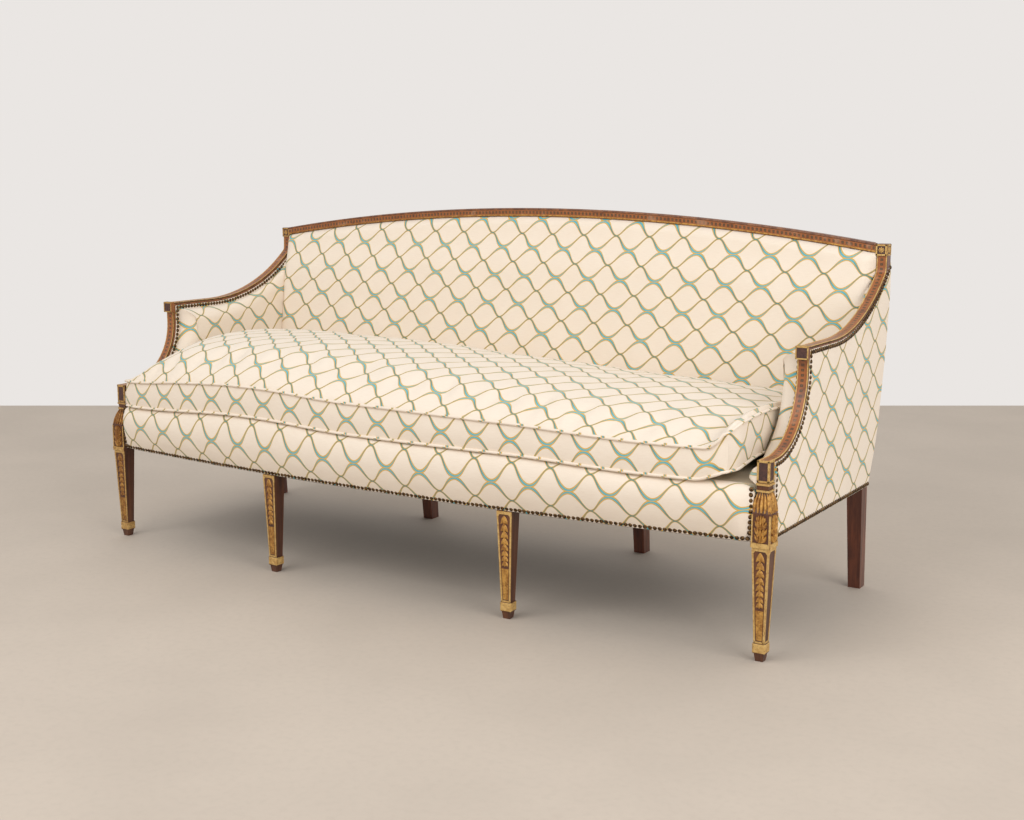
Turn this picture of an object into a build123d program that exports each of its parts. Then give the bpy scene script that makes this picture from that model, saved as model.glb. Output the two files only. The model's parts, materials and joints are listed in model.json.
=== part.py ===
from build123d import *
import os
from math import asin, cos, degrees, radians, sin, sqrt

# A sofa with an arched back, down-swept show-wood arms, a bowed front and one loose bench cushion.
# Millimetres, +X to the right as seen from the front, +Y to the back, +Z up.
# The model is drawn with y = 0 on the line through the front corner legs, and moved at the end so
# that the origin lies on the floor under the middle of the sofa.

# Seat frame
post_span = 1900
post_size = 40
rail_underside = 256
rail_height = 92
front_rail_thickness = 34
side_rail_thickness = 27
front_bow = 58
front_rail_setback = 8
side_setback = 12
cover_thickness = 3
crossbar_width = 26
crossbar_height = 60
crossbar_rise = 6
crossbar_spacing = 706
corner_block_leg = 70
corner_block_height = 60
corner_block_rise = 20

# Front legs
leg_top = 38
leg_ankle = 23
ankle_height = 40
collar_size = 27
collar_height = 22
foot_top = 22
foot_base = 17
knee_collar_size = 43
knee_collar_height = 10
knee_height = 63
vase_height = 55
vase_waist = 23
head_size = 26
head_top = 427
middle_leg_spacing = 706

# Back
rear_rail_face = 618
post_depth = 38
post_width = 35
back_rise = 536
back_reach = 103
back_sag = 27
upright_top_depth = 28
post_top = 836
crest_height = 909
crest_rise = 74
crest_rail_depth = 62
crest_lip_depth = 22
crest_lip_proud = 6
rosette_size = 27
rosette_proud = 4
lower_back_rail_base = 400
lower_back_rail_height = 45
stile_width = 30
stile_spacing = 700
rear_leg_width = 38
rear_leg_depth = 37
rear_foot_width = 30
rear_foot_depth = 34
rear_leg_kick = 25
back_cover_thickness = 5

# Arms
show_width = 25
arm_top = 640
arm_thickness = 26
arm_show_depth = 6
arm_front = 183
arm_bend_start = 350
arm_bend_radius = 516
arm_bend_angle = 46
arm_block_length = 12
arm_block_proud = 2
support_radius = 160
support_thickness = 28
support_show_depth = 5
support_foot = 10
tack_rail_base = 405
tack_rail_height = 25
tack_rail_width = 22

# Upholstery
deck_height = 374
deck_cloth_thickness = 2
hessian_thickness = 1.5
border_flange = 4
border_flange_height = 13
border_bulge = 26
border_bulge_height = 336
border_lip = 10
border_roll = 20
dust_cover_thickness = 1.5
pad_flange = 2.5
pad_flange_width = 11
arm_pad_thickness = 47
arm_pad_rounding = 20
arm_pad_toe = 6
arm_flange_drop = 2
pad_gap = 2
back_pad_base_thickness = 30
back_pad_middle = 53
back_pad_top = 28
back_pad_rounding = 20
back_webbing_width = 50
back_webbing_thickness = 1.5
back_webbing_pitch = 110
back_webbing_count = 16
back_hessian_thickness = 0.8
layer_gap = 0.1
back_hessian_margin = 35

# Zigzag springs
spring_wire = 4
spring_pitch = 150
spring_count = 11
spring_half_width = 25
spring_loop = 40
spring_bend = 12
spring_loop_count = 13
spring_first_loop = 40
spring_below_rail_top = 3
clip_width = 16
clip_length = 12
clip_height = 12

# Cushion
cushion_clearance = 0.3
cushion_side_gap = 2
cushion_overhang = 12
cushion_rear_gap = 3
cushion_boxing = 82
cushion_crown_left = 103
cushion_crown_right = 41
cushion_crown_end = 20
cushion_fall_start = -0.7
cushion_fall_length = 1.6
cushion_side_draw = 5
cushion_cloth = 3
seam_clearance = 1.2
welt_diameter = 9
welt_rise = 1.5
zip_length = 900
zip_width = 26
zip_thickness = 1.2
zip_clearance = 0.2

# Fasteners
dowel_diameter = 10
dowel_length = 48
dowel_clearance = 0.1
dowel_inset = 15
dowel_low = 0.22
dowel_middle = 0.46
dowel_high = 0.70
dowel_upper = 0.88
screw_diameter = 4.5
screw_head_diameter = 9
screw_head_height = 4
screw_bite = 20
screw_seat = 18
screw_offset = 12
nail_head_diameter = 10
nail_head_height = 3
nail_shank_diameter = 1.6
nail_shank_length = 8
nail_spacing = 11.3
nail_edge = 6

# Places that follow from the sizes above
half_span = post_span / 2
post_inside = half_span - post_size / 2
post_front = -post_size / 2
post_rear = post_size / 2
side_face = half_span + post_size / 2 - side_setback
cover_face = side_face + cover_thickness
side_rail_inside = side_face - side_rail_thickness
show_inside = cover_face - show_width
rail_top = rail_underside + rail_height
rear_post_inside = side_face - post_width
head_front = post_rear - head_size
knee_top = rail_underside + knee_height
vase_top = knee_top + vase_height
bow_edge = post_front + front_rail_setback
bow_radius = (post_inside**2 + front_bow**2) / (2 * front_bow)
bow_centre = bow_edge - front_bow + bow_radius
bow_angle = degrees(asin(post_inside / bow_radius)) + 1
crest_radius = (half_span**2 + crest_rise**2) / (2 * crest_rise)
support_centre_y = post_rear + support_foot
support_centre_z = head_top + support_radius
arm_bend_centre_z = arm_top + arm_bend_radius
far = 1200
margin = 5


def bow_y(x, behind=0):
    """Depth of the bowed line that lies the given distance behind the front rail's face."""
    return bow_centre - sqrt((bow_radius - behind) ** 2 - x**2)


def arc_line(low, middle, high):
    """Circle through three (y, z) points, as a function that gives y at a height."""
    (ay, az), (by, bz), (cy, cz) = low, middle, high
    d = 2 * (ay * (bz - cz) + by * (cz - az) + cy * (az - bz))
    sa, sb, sc = ay**2 + az**2, by**2 + bz**2, cy**2 + cz**2
    centre_y = (sa * (bz - cz) + sb * (cz - az) + sc * (az - bz)) / d
    centre_z = (sa * (cy - by) + sb * (ay - cy) + sc * (by - ay)) / d
    radius = sqrt((ay - centre_y) ** 2 + (az - centre_z) ** 2)
    return lambda z: centre_y + sqrt(radius**2 - (z - centre_z) ** 2)


def shifted(line, by):
    """The same side-view line moved to the back."""
    return lambda z: line(z) + by


def back_curve(base, top):
    """Curved side-view line of the back between two depths, bulging to the rear by back_sag."""
    middle = (base + top) / 2 + back_sag
    return arc_line(
        (base, rail_underside),
        (middle, rail_underside + back_rise / 2),
        (top, rail_underside + back_rise),
    )


rear_line = back_curve(rear_rail_face, rear_rail_face + back_reach)
front_line = back_curve(
    rear_rail_face - post_depth,
    rear_rail_face + back_reach - upright_top_depth,
)


def side_shape(edges, x_low, x_high):
    """Solid of a (y, z) outline between two X planes."""
    face = Plane.YZ * make_face(edges)
    return Pos(x_low, 0, 0) * extrude(face, amount=x_high - x_low, dir=(1, 0, 0))


def front_shape(edges, y_low, y_high):
    """Solid of an (x, z) outline between two Y planes."""
    face = Plane.XZ * make_face(edges)
    return Pos(0, y_low, 0) * extrude(face, amount=y_high - y_low, dir=(0, 1, 0))


def plan_shape(edges, z_low, z_high):
    """Solid of an (x, y) outline between two heights."""
    return Pos(0, 0, z_low) * extrude(make_face(edges), amount=z_high - z_low, dir=(0, 0, 1))


def polygon(*points):
    """Closed outline of straight edges."""
    return [Line(a, b) for a, b in zip(points, points[1:] + points[:1])]


def block(x_low, x_high, y_low, y_high, z_low, z_high):
    """Box between two corners."""
    size = (x_high - x_low, y_high - y_low, z_high - z_low)
    return Pos(x_low, y_low, z_low) * Box(*size, align=(Align.MIN, Align.MIN, Align.MIN))


def line_arc(line, z_low, z_high):
    """Arc of a side-view line between two heights."""
    points = [(line(z), z) for z in (z_low, (z_low + z_high) / 2, z_high)]
    return ThreePointArc(*points)


def back_slab(x_low, x_high, z_low, z_high, front=front_line, rear=rear_line):
    """Piece of the curved back between two side-view lines."""
    edges = [
        line_arc(front, z_low, z_high),
        Line((front(z_high), z_high), (rear(z_high), z_high)),
        line_arc(rear, z_low, z_high),
        Line((rear(z_low), z_low), (front(z_low), z_low)),
    ]
    return side_shape(edges, x_low, x_high)


def crest_z(x, drop=0):
    """Height of the arched crest line at x, lowered by drop."""
    return crest_height - drop - crest_radius + sqrt(crest_radius**2 - x**2)


def under_crest(drop, half_width, z_low):
    """Everything below the crest line lowered by drop, as a block through the sofa's depth."""
    edge = crest_z(half_width, drop)
    edges = [
        ThreePointArc((-half_width, edge), (0, crest_z(0, drop)), (half_width, edge)),
        Line((half_width, edge), (half_width, z_low)),
        Line((half_width, z_low), (-half_width, z_low)),
        Line((-half_width, z_low), (-half_width, edge)),
    ]
    return front_shape(edges, 0, far)


def bowed(section):
    """Solid of an (n, z) section, n in front of the front rail's face, carried round the bow."""
    face = Plane.YZ * make_face(section)
    swing = Pos(0, bow_centre, 0) * Rot(0, 0, -bow_angle) * Pos(0, -bow_centre, 0)
    axis = Axis((0, bow_centre, 0), (0, 0, 1))
    return revolve(swing * face, axis=axis, revolution_arc=2 * bow_angle)


def bow_section(points):
    """(n, z) points as (y, z) points on the sofa's middle plane."""
    return [(bow_y(0) - n, z) for n, z in points]


def mirrored(shape):
    """The same piece on the other side of the sofa."""
    return mirror(shape, about=Plane.YZ)


def square_at(x, y, z, width, depth=None):
    """Rectangle in the horizontal plane at a height."""
    return Pos(x, y, z) * Rectangle(width, depth or width)


# Lines of the arm, moved down or back from the show-wood face by an inset
def support_arc(inset):
    return CenterArc((support_centre_y, support_centre_z), support_radius + inset, 270, 90)


def arm_arc(inset, angle):
    return CenterArc((arm_bend_start, arm_bend_centre_z), arm_bend_radius + inset, 270, angle)


def arm_point(inset, angle):
    """Point of the arm's bend at an angle from its start."""
    radius = arm_bend_radius + inset
    turn = radians(angle)
    return (arm_bend_start + radius * sin(turn), arm_bend_centre_z - radius * cos(turn))


def bend_angle_at(inset, line):
    """Angle at which the arm's bend, moved by an inset, meets a side-view line of the back."""
    low, high = 0.0, 80.0
    for _ in range(60):
        angle = (low + high) / 2
        y, z = arm_point(inset, angle)
        if y < line(z):
            low = angle
        else:
            high = angle
    return low


def support_back(inset):
    """Depth of the upright stretch of the arm support, moved back by an inset."""
    return support_centre_y + support_radius + inset


def arm_edges(support_inset, arm_inset, rear, base, front):
    """Outline below the arm: up the support, along the arm, down the back line, along the base."""
    angle = bend_angle_at(arm_inset, rear)
    end_y, end_z = arm_point(arm_inset, angle)
    start_z = support_centre_z - support_radius - support_inset
    upright = support_back(support_inset)
    return [
        Line((front, base), (front, start_z)),
        Line((front, start_z), (support_centre_y, start_z)),
        support_arc(support_inset),
        Line((upright, support_centre_z), (upright, arm_top - arm_inset)),
        Line((upright, arm_top - arm_inset), (arm_bend_start, arm_top - arm_inset)),
        arm_arc(arm_inset, angle),
        line_arc(rear, base, end_z),
        Line((rear(base), base), (front, base)),
    ]


# Frame pieces. Right-hand ones are mirrored for the left, middle ones span the sofa.
def straight_leg(x, y):
    """Tapered front leg below the rail: foot, ankle collar and shaft."""
    collar_base = ankle_height - collar_height
    shaft = loft([square_at(x, y, ankle_height, leg_ankle), square_at(x, y, rail_underside, leg_top)])
    collar = block(
        x - collar_size / 2, x + collar_size / 2,
        y - collar_size / 2, y + collar_size / 2,
        collar_base, ankle_height,
    )
    foot = loft([square_at(x, y, 0, foot_base), square_at(x, y, collar_base, foot_top)])
    return shaft + chamfer(collar.edges().filter_by(Axis.Z), 2) + foot


def front_leg():
    """Front corner leg with its knee block, waisted vase and head block."""
    collar = block(
        half_span - knee_collar_size / 2, half_span + knee_collar_size / 2,
        -knee_collar_size / 2, knee_collar_size / 2,
        rail_underside - knee_collar_height, rail_underside,
    )
    knee = block(post_inside, post_inside + post_size, post_front, post_rear, rail_underside, knee_top)
    head_x = cover_face - 2 - head_size / 2
    head_y = post_rear - head_size / 2
    waist_z = vase_top - vase_height / 4
    vase = loft([
        square_at(half_span, 0, knee_top, post_size),
        square_at(head_x, head_y, waist_z, vase_waist),
    ])
    neck = loft([
        square_at(head_x, head_y, waist_z, vase_waist),
        square_at(head_x, head_y, vase_top, head_size),
    ])
    head = block(
        head_x - head_size / 2, head_x + head_size / 2,
        head_front, post_rear, vase_top, head_top,
    )
    core = block(
        post_inside, side_face - nail_shank_length,
        head_front, post_rear, rail_underside, rail_top,
    )
    return straight_leg(half_span, 0) + collar + knee + vase + neck + head + core


def front_middle_leg():
    """Front middle leg, turned square to the bow, its face flush with the border's cloth."""
    x = middle_leg_spacing / 2
    y = bow_y(x) - border_flange + leg_top / 2
    turn = degrees(asin(x / bow_radius))
    return Pos(x, y, 0) * Rot(0, 0, turn) * straight_leg(0, 0)


def raked_leg(x):
    """Plain rear leg, kicked back towards the floor."""
    top_y = rear_rail_face - post_depth / 2
    foot = square_at(x, top_y + rear_leg_kick, 0, rear_foot_width, rear_foot_depth)
    top = square_at(x, top_y, rail_underside, rear_leg_width, rear_leg_depth)
    return loft([foot, top])


def rear_post():
    """Rear corner post: leg, upright, show-wood cheek and the rosette block on top."""
    upright = back_slab(rear_post_inside, side_face, rail_underside, post_top)
    cheek = back_slab(side_face, cover_face, arm_top, post_top)
    cheek -= side_shape(
        arm_edges(support_show_depth, arm_show_depth, shifted(rear_line, back_cover_thickness + 1),
                  rail_underside, post_rear),
        side_face - 1, cover_face + 1,
    )
    cheek -= block(side_face, far, -far, front_line(arm_top) - 1, 0, far)
    rosette_base = post_top - rosette_size
    face = min(front_line(rosette_base), front_line(post_top)) - rosette_proud
    rosette = block(
        cover_face - rosette_size, cover_face, face, rear_line(rosette_base), rosette_base, post_top + 1,
    )
    leg_x = cover_face - rear_leg_width / 2
    return raked_leg(leg_x) + upright + cheek + rosette


def crest_rail():
    """Arched crest rail with a proud show-wood edge."""
    low = crest_z(rear_post_inside, crest_rail_depth) - margin
    wide = rear_post_inside + margin
    span = (-rear_post_inside, rear_post_inside)
    board = back_slab(*span, low, crest_height + margin)
    board &= under_crest(0, wide, low - margin)
    board -= under_crest(crest_rail_depth, wide, 0)
    lip = back_slab(*span, low, crest_height + margin, front=shifted(front_line, -crest_lip_proud))
    lip &= under_crest(0, wide, low - margin)
    lip -= under_crest(crest_lip_depth, wide, 0)
    return board + lip


def back_stile():
    """Upright between the lower back rail and the crest rail."""
    x = stile_spacing / 2
    base = lower_back_rail_base + lower_back_rail_height
    stile = back_slab(x - stile_width / 2, x + stile_width / 2, base, crest_height)
    return stile & under_crest(crest_rail_depth, rear_post_inside, rail_underside)


def arm_band(top_inset, bottom_inset, x_low, x_high):
    """Stretch of the arm rail between two insets from its show-wood face."""
    edges = [
        Line((arm_front, arm_top - top_inset), (arm_bend_start, arm_top - top_inset)),
        arm_arc(top_inset, arm_bend_angle),
        Line(arm_point(top_inset, arm_bend_angle), arm_point(bottom_inset, arm_bend_angle)),
        arm_arc(bottom_inset, arm_bend_angle),
        Line((arm_bend_start, arm_top - bottom_inset), (arm_front, arm_top - bottom_inset)),
        Line((arm_front, arm_top - bottom_inset), (arm_front, arm_top - top_inset)),
    ]
    return side_shape(edges, x_low, x_high)


def arm_rail():
    """Swept arm rail: show-wood above, a narrower tacking edge below, a small block in front."""
    rail = arm_band(0, arm_show_depth, show_inside, cover_face)
    rail += arm_band(arm_show_depth, arm_thickness, show_inside, side_face)
    rail += block(
        show_inside - arm_block_proud, cover_face + arm_block_proud,
        arm_front - arm_block_proud, arm_front - arm_block_proud + arm_block_length,
        arm_top - arm_thickness, arm_top + arm_block_proud,
    )
    return rail - back_slab(0, cover_face + 5, arm_top - arm_thickness, post_top, rear=shifted(rear_line, 60))


def support_band(front_inset, back_inset, x_low, x_high):
    """Stretch of the arm support between two insets from its show-wood face."""
    top = arm_top - arm_thickness
    front_low = support_centre_z - support_radius - front_inset
    back_low = support_centre_z - support_radius - back_inset
    front_up = support_back(front_inset)
    back_up = support_back(back_inset)
    edges = [
        Line((post_rear, front_low), (support_centre_y, front_low)),
        support_arc(front_inset),
        Line((front_up, support_centre_z), (front_up, top)),
        Line((front_up, top), (back_up, top)),
        Line((back_up, top), (back_up, support_centre_z)),
        support_arc(back_inset),
        Line((support_centre_y, back_low), (post_rear, back_low)),
        Line((post_rear, back_low), (post_rear, front_low)),
    ]
    return side_shape(edges, x_low, x_high)


def arm_support():
    """Curved support from the leg's head block up to the arm rail."""
    support = support_band(0, support_show_depth, show_inside, cover_face)
    return support + support_band(support_show_depth, support_thickness, show_inside, side_face)


def front_seat_rail():
    """Bowed front rail between the corner legs."""
    section = polygon(*bow_section([
        (0, rail_underside), (-front_rail_thickness, rail_underside),
        (-front_rail_thickness, rail_top), (0, rail_top),
    ]))
    return bowed(section) & block(-post_inside, post_inside, -far, far, 0, far)


def side_seat_rail():
    """Side rail between the front leg and the rear post."""
    rail = block(side_rail_inside, side_face, post_rear, rear_rail_face, rail_underside, rail_top)
    return rail - back_slab(0, far, rail_underside - 1, rail_top + 1, rear=shifted(rear_line, far))


def seat_crossbar():
    """Bar from the front rail to the rear rail."""
    x = crossbar_spacing / 2
    base = rail_underside + crossbar_rise
    bar = block(
        x - crossbar_width / 2, x + crossbar_width / 2,
        bow_y(0), rear_rail_face, base, base + crossbar_height,
    )
    bar -= back_slab(0, far, base - 1, base + crossbar_height + 1, rear=shifted(rear_line, far))
    return bar - bow_front()


def arm_tack_rail():
    """Low bar that the arm's covers are tacked to."""
    bar = block(
        side_face - tack_rail_width, side_face, support_centre_y, rear_line(tack_rail_base),
        tack_rail_base, tack_rail_base + tack_rail_height,
    )
    bar -= back_slab(0, far, tack_rail_base - 1, tack_rail_base + tack_rail_height + 1,
                     rear=shifted(rear_line, far))
    disc = Pos(0, support_centre_y, support_centre_z) * Rot(0, 90, 0) * Cylinder(
        support_radius + support_thickness, 2 * far)
    return bar - disc


def corner_block(rear):
    """Triangular block in a corner of the seat frame, cut to the rails it is screwed to."""
    base = rail_underside + corner_block_rise
    top = base + corner_block_height
    corner = block_corner(rear)
    way = -1 if rear else 1
    reach = corner_block_leg
    edges = polygon(
        (side_rail_inside, corner - way * reach),
        (side_rail_inside, corner + way * reach),
        (side_rail_inside - reach, corner),
        (side_rail_inside - reach, corner - way * reach),
    )
    shape = plan_shape(edges, base, top)
    if rear:
        return shape - back_slab(0, far, base - 1, top + 1, rear=shifted(rear_line, far))
    return shape - bow_front()


def bow_front():
    """Everything in front of the front rail's inner face."""
    section = polygon(*bow_section([
        (far / 4, 0), (-front_rail_thickness, 0), (-front_rail_thickness, far), (far / 4, far),
    ]))
    return bowed(section)


def block_corner(rear):
    """Depth of the seat frame's inner corner."""
    if rear:
        return front_line(rail_underside + corner_block_rise)
    return bow_y(side_rail_inside - corner_block_leg, front_rail_thickness) + 6


right = {
    "front_leg": front_leg(),
    "front_middle_leg": front_middle_leg(),
    "rear_post": rear_post(),
    "rear_middle_leg": raked_leg(stile_spacing / 2),
    "back_stile": back_stile(),
    "arm_rail": arm_rail(),
    "arm_support": arm_support(),
    "side_seat_rail": side_seat_rail(),
    "seat_crossbar": seat_crossbar(),
    "arm_tack_rail": arm_tack_rail(),
    "front_corner_block": corner_block(False),
    "rear_corner_block": corner_block(True),
}
middle = {
    "front_seat_rail": front_seat_rail(),
    "rear_seat_rail": back_slab(-rear_post_inside, rear_post_inside, rail_underside, rail_top),
    "lower_back_rail": back_slab(
        -rear_post_inside, rear_post_inside,
        lower_back_rail_base, lower_back_rail_base + lower_back_rail_height,
    ),
    "crest_rail": crest_rail(),
}

# Dowels in the right half of the frame: the two pieces, the middle of the joint, the direction
def back_middle(z):
    """Middle of the back frame's thickness at a height."""
    return (front_line(z) + rear_line(z)) / 2


rail_low = rail_underside + dowel_low * rail_height
rail_mid = rail_underside + dowel_middle * rail_height
rail_high = rail_underside + dowel_high * rail_height
rail_upper = rail_underside + dowel_upper * rail_height
post_line = side_face - dowel_inset
arm_line = (show_inside + side_face) / 2
stile_x = stile_spacing / 2
crest_end = crest_z(rear_post_inside, crest_rail_depth / 2)
arm_meets_post = bend_angle_at(arm_thickness / 2, front_line)
arm_end = arm_point(arm_thickness / 2, arm_meets_post)
arm_turn = radians(arm_meets_post)
stile_base = lower_back_rail_base + lower_back_rail_height
stile_top = crest_z(stile_x, crest_rail_depth)
lower_rail_mid = lower_back_rail_base + lower_back_rail_height / 2
tack_mid = tack_rail_base + tack_rail_height / 2
tack_front = support_centre_y + sqrt(
    (support_radius + support_thickness) ** 2 - (support_centre_z - tack_mid) ** 2)
support_mid = head_top - support_thickness / 2
support_top_y = support_back(support_thickness / 2)
bar_x = crossbar_spacing / 2
bar_z = rail_underside + crossbar_rise + dowel_high * crossbar_height
front_leg_x = middle_leg_spacing / 2
along_x = (1, 0, 0)
along_y = (0, 1, 0)
along_z = (0, 0, 1)
joints = [
    ("front_seat_rail", "front_leg", (post_inside, (head_front + post_rear) / 2, rail_low), along_x),
    ("front_seat_rail", "front_leg", (post_inside, (head_front + post_rear) / 2, rail_high), along_x),
    ("side_seat_rail", "front_leg", (post_line, post_rear, rail_mid), along_y),
    ("side_seat_rail", "front_leg", (post_line, post_rear, rail_upper), along_y),
    ("side_seat_rail", "rear_post", (post_line, front_line(rail_mid), rail_mid), along_y),
    ("side_seat_rail", "rear_post", (post_line, front_line(rail_upper), rail_upper), along_y),
    ("rear_seat_rail", "rear_post", (rear_post_inside, back_middle(rail_low), rail_low), along_x),
    ("rear_seat_rail", "rear_post", (rear_post_inside, back_middle(rail_high), rail_high), along_x),
    ("arm_support", "front_leg", (arm_line, post_rear, support_mid), along_y),
    ("arm_rail", "arm_support", (arm_line, support_top_y, arm_top - arm_thickness), along_z),
    ("arm_rail", "rear_post", (arm_line, *arm_end), (0, cos(arm_turn), sin(arm_turn))),
    ("crest_rail", "rear_post", (rear_post_inside, back_middle(crest_end), crest_end), along_x),
    ("lower_back_rail", "rear_post", (rear_post_inside, back_middle(lower_rail_mid), lower_rail_mid), along_x),
    ("back_stile", "lower_back_rail", (stile_x, back_middle(stile_base), stile_base), along_z),
    ("back_stile", "crest_rail", (stile_x, back_middle(stile_top), stile_top), along_z),
    ("arm_tack_rail", "arm_support", (arm_line, tack_front, tack_mid), along_y),
    ("arm_tack_rail", "rear_post", (arm_line, front_line(tack_mid), tack_mid), along_y),
    ("front_middle_leg", "front_seat_rail",
     (front_leg_x, bow_y(front_leg_x, front_rail_thickness / 2), rail_underside), along_z),
    ("rear_middle_leg", "rear_seat_rail", (stile_x, back_middle(rail_underside), rail_underside), along_z),
    ("seat_crossbar", "front_seat_rail", (bar_x, bow_y(bar_x, front_rail_thickness), bar_z), along_y),
    ("seat_crossbar", "rear_seat_rail", (bar_x, front_line(bar_z), bar_z), along_y),
]
dowel_reach = {"arm_rail": arm_thickness, "arm_support": support_thickness}


def dowel(centre, direction, diameter, length):
    """Round pin on a joint's middle."""
    return Plane(origin=centre, z_dir=direction).location * Cylinder(diameter / 2, length)


dowels = []
for first, second, centre, direction in joints:
    short = min(dowel_reach.get(first, dowel_length), dowel_reach.get(second, dowel_length))
    length = min(dowel_length, 1.5 * short)
    dowels.append(dowel(centre, direction, dowel_diameter, length))
    hole = dowel(centre, direction, dowel_diameter + 2 * dowel_clearance, length + 2 * dowel_clearance)
    for name in (first, second):
        if name in right:
            right[name] -= hole
        else:
            middle[name] = middle[name] - hole - mirrored(hole)


# Screws through the corner blocks
def screw(seat, direction, extra=0.0):
    """Round-headed screw whose head sits at a point, pointing along a direction."""
    place = Plane(origin=seat, z_dir=direction).location
    grip = screw_seat + screw_bite
    shank = Cylinder(screw_diameter / 2 + extra, grip, align=(Align.CENTER, Align.CENTER, Align.MIN))
    head = Cylinder(
        screw_head_diameter / 2 + extra, screw_head_height, align=(Align.CENTER, Align.CENTER, Align.MAX))
    return place * (shank + head)


screws = []
for rear in (False, True):
    name = "rear_corner_block" if rear else "front_corner_block"
    rail = "rear_seat_rail" if rear else "front_seat_rail"
    way = 1 if rear else -1
    corner = block_corner(rear)
    height = rail_underside + corner_block_rise + corner_block_height / 2
    side_y = corner - way * corner_block_leg * 0.4
    end_x = side_rail_inside - corner_block_leg * 0.4
    end_y = front_line(height) if rear else bow_y(end_x, front_rail_thickness)
    places = [
        ((side_rail_inside - screw_seat, side_y, height + screw_offset), along_x, "side_seat_rail"),
        ((end_x, end_y - way * screw_seat, height - screw_offset), (0, way, 0), rail),
    ]
    for seat, direction, into in places:
        screws.append(screw(seat, direction))
        hole = screw(seat, direction, dowel_clearance)
        away = Vector(*seat) - Vector(*direction) * corner_block_leg / 2
        bore = dowel(away, direction, screw_head_diameter + 1, corner_block_leg)
        right[name] = right[name] - hole - bore
        if into in right:
            right[into] -= hole
        else:
            middle[into] = middle[into] - hole - mirrored(hole)


# Seat upholstery
def bow_sheet(behind, half_width, rear, z_low, z_high):
    """Flat piece of the seat: bowed in front, straight at the sides and back."""
    edge = bow_y(half_width, behind)
    edges = [
        ThreePointArc((-half_width, edge), (0, bow_y(0, behind)), (half_width, edge)),
        Line((half_width, edge), (half_width, rear)),
        Line((half_width, rear), (-half_width, rear)),
        Line((-half_width, rear), (-half_width, edge)),
    ]
    return plan_shape(edges, z_low, z_high)


def front_border():
    """Padded border in front of the front rail and over its top edge."""
    corners = bow_section([
        (0, rail_underside), (border_flange, rail_underside),
        (border_flange, rail_underside + border_flange_height),
        (border_bulge * 0.78, (rail_underside + border_flange_height + border_bulge_height) / 2),
        (border_bulge, border_bulge_height),
        (border_bulge * 0.86, (border_bulge_height + deck_height) / 2),
        (border_lip, deck_height), (-border_roll, deck_height), (-border_roll, rail_top), (0, rail_top),
    ])
    a, b, c, c_mid, d, d_mid, e, f, g, h = corners
    section = [
        Line(a, b), Line(b, c), ThreePointArc(c, c_mid, d), ThreePointArc(d, d_mid, e),
        Line(e, f), Line(f, g), Line(g, h), Line(h, a),
    ]
    return bowed(section) & block(-post_inside, post_inside, -far, far, 0, far)


seat_half = side_rail_inside + side_rail_thickness / 2
hessian_rear = front_line(rail_top) + 15
deck_rear = front_line(rail_top) - 2
hessian_top = rail_top + hessian_thickness
cloth_base = deck_height - deck_cloth_thickness
posts = [right["rear_post"], mirrored(right["rear_post"]), right["front_leg"], mirrored(right["front_leg"])]
seat_hessian = bow_sheet(border_roll, seat_half, hessian_rear, rail_top, hessian_top)
seat_stuffing = bow_sheet(border_roll, side_rail_inside, deck_rear, hessian_top, cloth_base)
deck_cloth = bow_sheet(border_roll, side_rail_inside, deck_rear, cloth_base, deck_height)
seat_sheets = {}
for name, sheet in (
    ("seat_hessian", seat_hessian), ("seat_stuffing", seat_stuffing), ("seat_deck_cloth", deck_cloth),
):
    for post in posts:
        sheet -= post
    seat_sheets[name] = sheet

dust_cover = bow_sheet(
    1, side_face - 1, rear_rail_face - 1, rail_underside - dust_cover_thickness, rail_underside)
for leg in ("front_leg", "front_middle_leg", "rear_post", "rear_middle_leg"):
    dust_cover = dust_cover - right[leg] - mirrored(right[leg])
dust_cover = max(dust_cover.solids(), key=lambda solid: solid.volume)


def zigzag_spring(x):
    """Zigzag spring from its clip on the front rail to its clip on the rear rail."""
    z = rail_top - spring_below_rail_top
    start = bow_y(x, front_rail_thickness) + 3
    end = front_line(z) - 3
    y = spring_first_loop
    side = 1
    points = [(x, start, z), (x, y, z)]
    for _ in range(spring_loop_count):
        points.append((x + side * spring_half_width, y, z))
        y += spring_loop
        points.append((x + side * spring_half_width, y, z))
        side = -side
    points += [(x, y, z), (x, end, z)]
    path = FilletPolyline(*points, radius=spring_bend)
    return sweep(Plane(path @ 0, z_dir=path % 0) * Circle(spring_wire / 2), path=path)


def spring_clips(x):
    """The two clips that hold a spring's ends."""
    z = rail_top - spring_below_rail_top
    wire = dowel((x, 0, z), along_y, spring_wire + 2 * dowel_clearance, 2 * far)
    low, high = z - clip_height / 2 - 1, rail_top
    front = bow_y(x, front_rail_thickness)
    front_clip = block(x - clip_width / 2, x + clip_width / 2, front - 6, front + clip_length, low, high)
    rear = front_line(z)
    rear_clip = block(x - clip_width / 2, x + clip_width / 2, rear - clip_length, rear + 6, low, high)
    rear_clip -= back_slab(-far, far, low - 1, high + 1, rear=shifted(rear_line, far))
    return [front_clip - bow_front() - wire, rear_clip - wire]


springs = []
clips = []
for index in range(spring_count):
    spring_x = (index - (spring_count - 1) / 2) * spring_pitch
    springs.append(zigzag_spring(spring_x))
    clips.extend(spring_clips(spring_x))


# Back upholstery
pad_line = arc_line(
    (front_line(deck_height) - back_pad_base_thickness, deck_height),
    (front_line((deck_height + crest_height) / 2) - back_pad_middle, (deck_height + crest_height) / 2),
    (front_line(crest_height) - back_pad_top, crest_height),
)
pad_back_line = shifted(front_line, -pad_flange)
pad_base = deck_height + pad_gap
pad_half = show_inside - pad_flange_width - 8
pad_drop = crest_lip_depth + pad_flange_width
hessian_half = pad_half - back_hessian_margin
hessian_drop = pad_drop + 6


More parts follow.
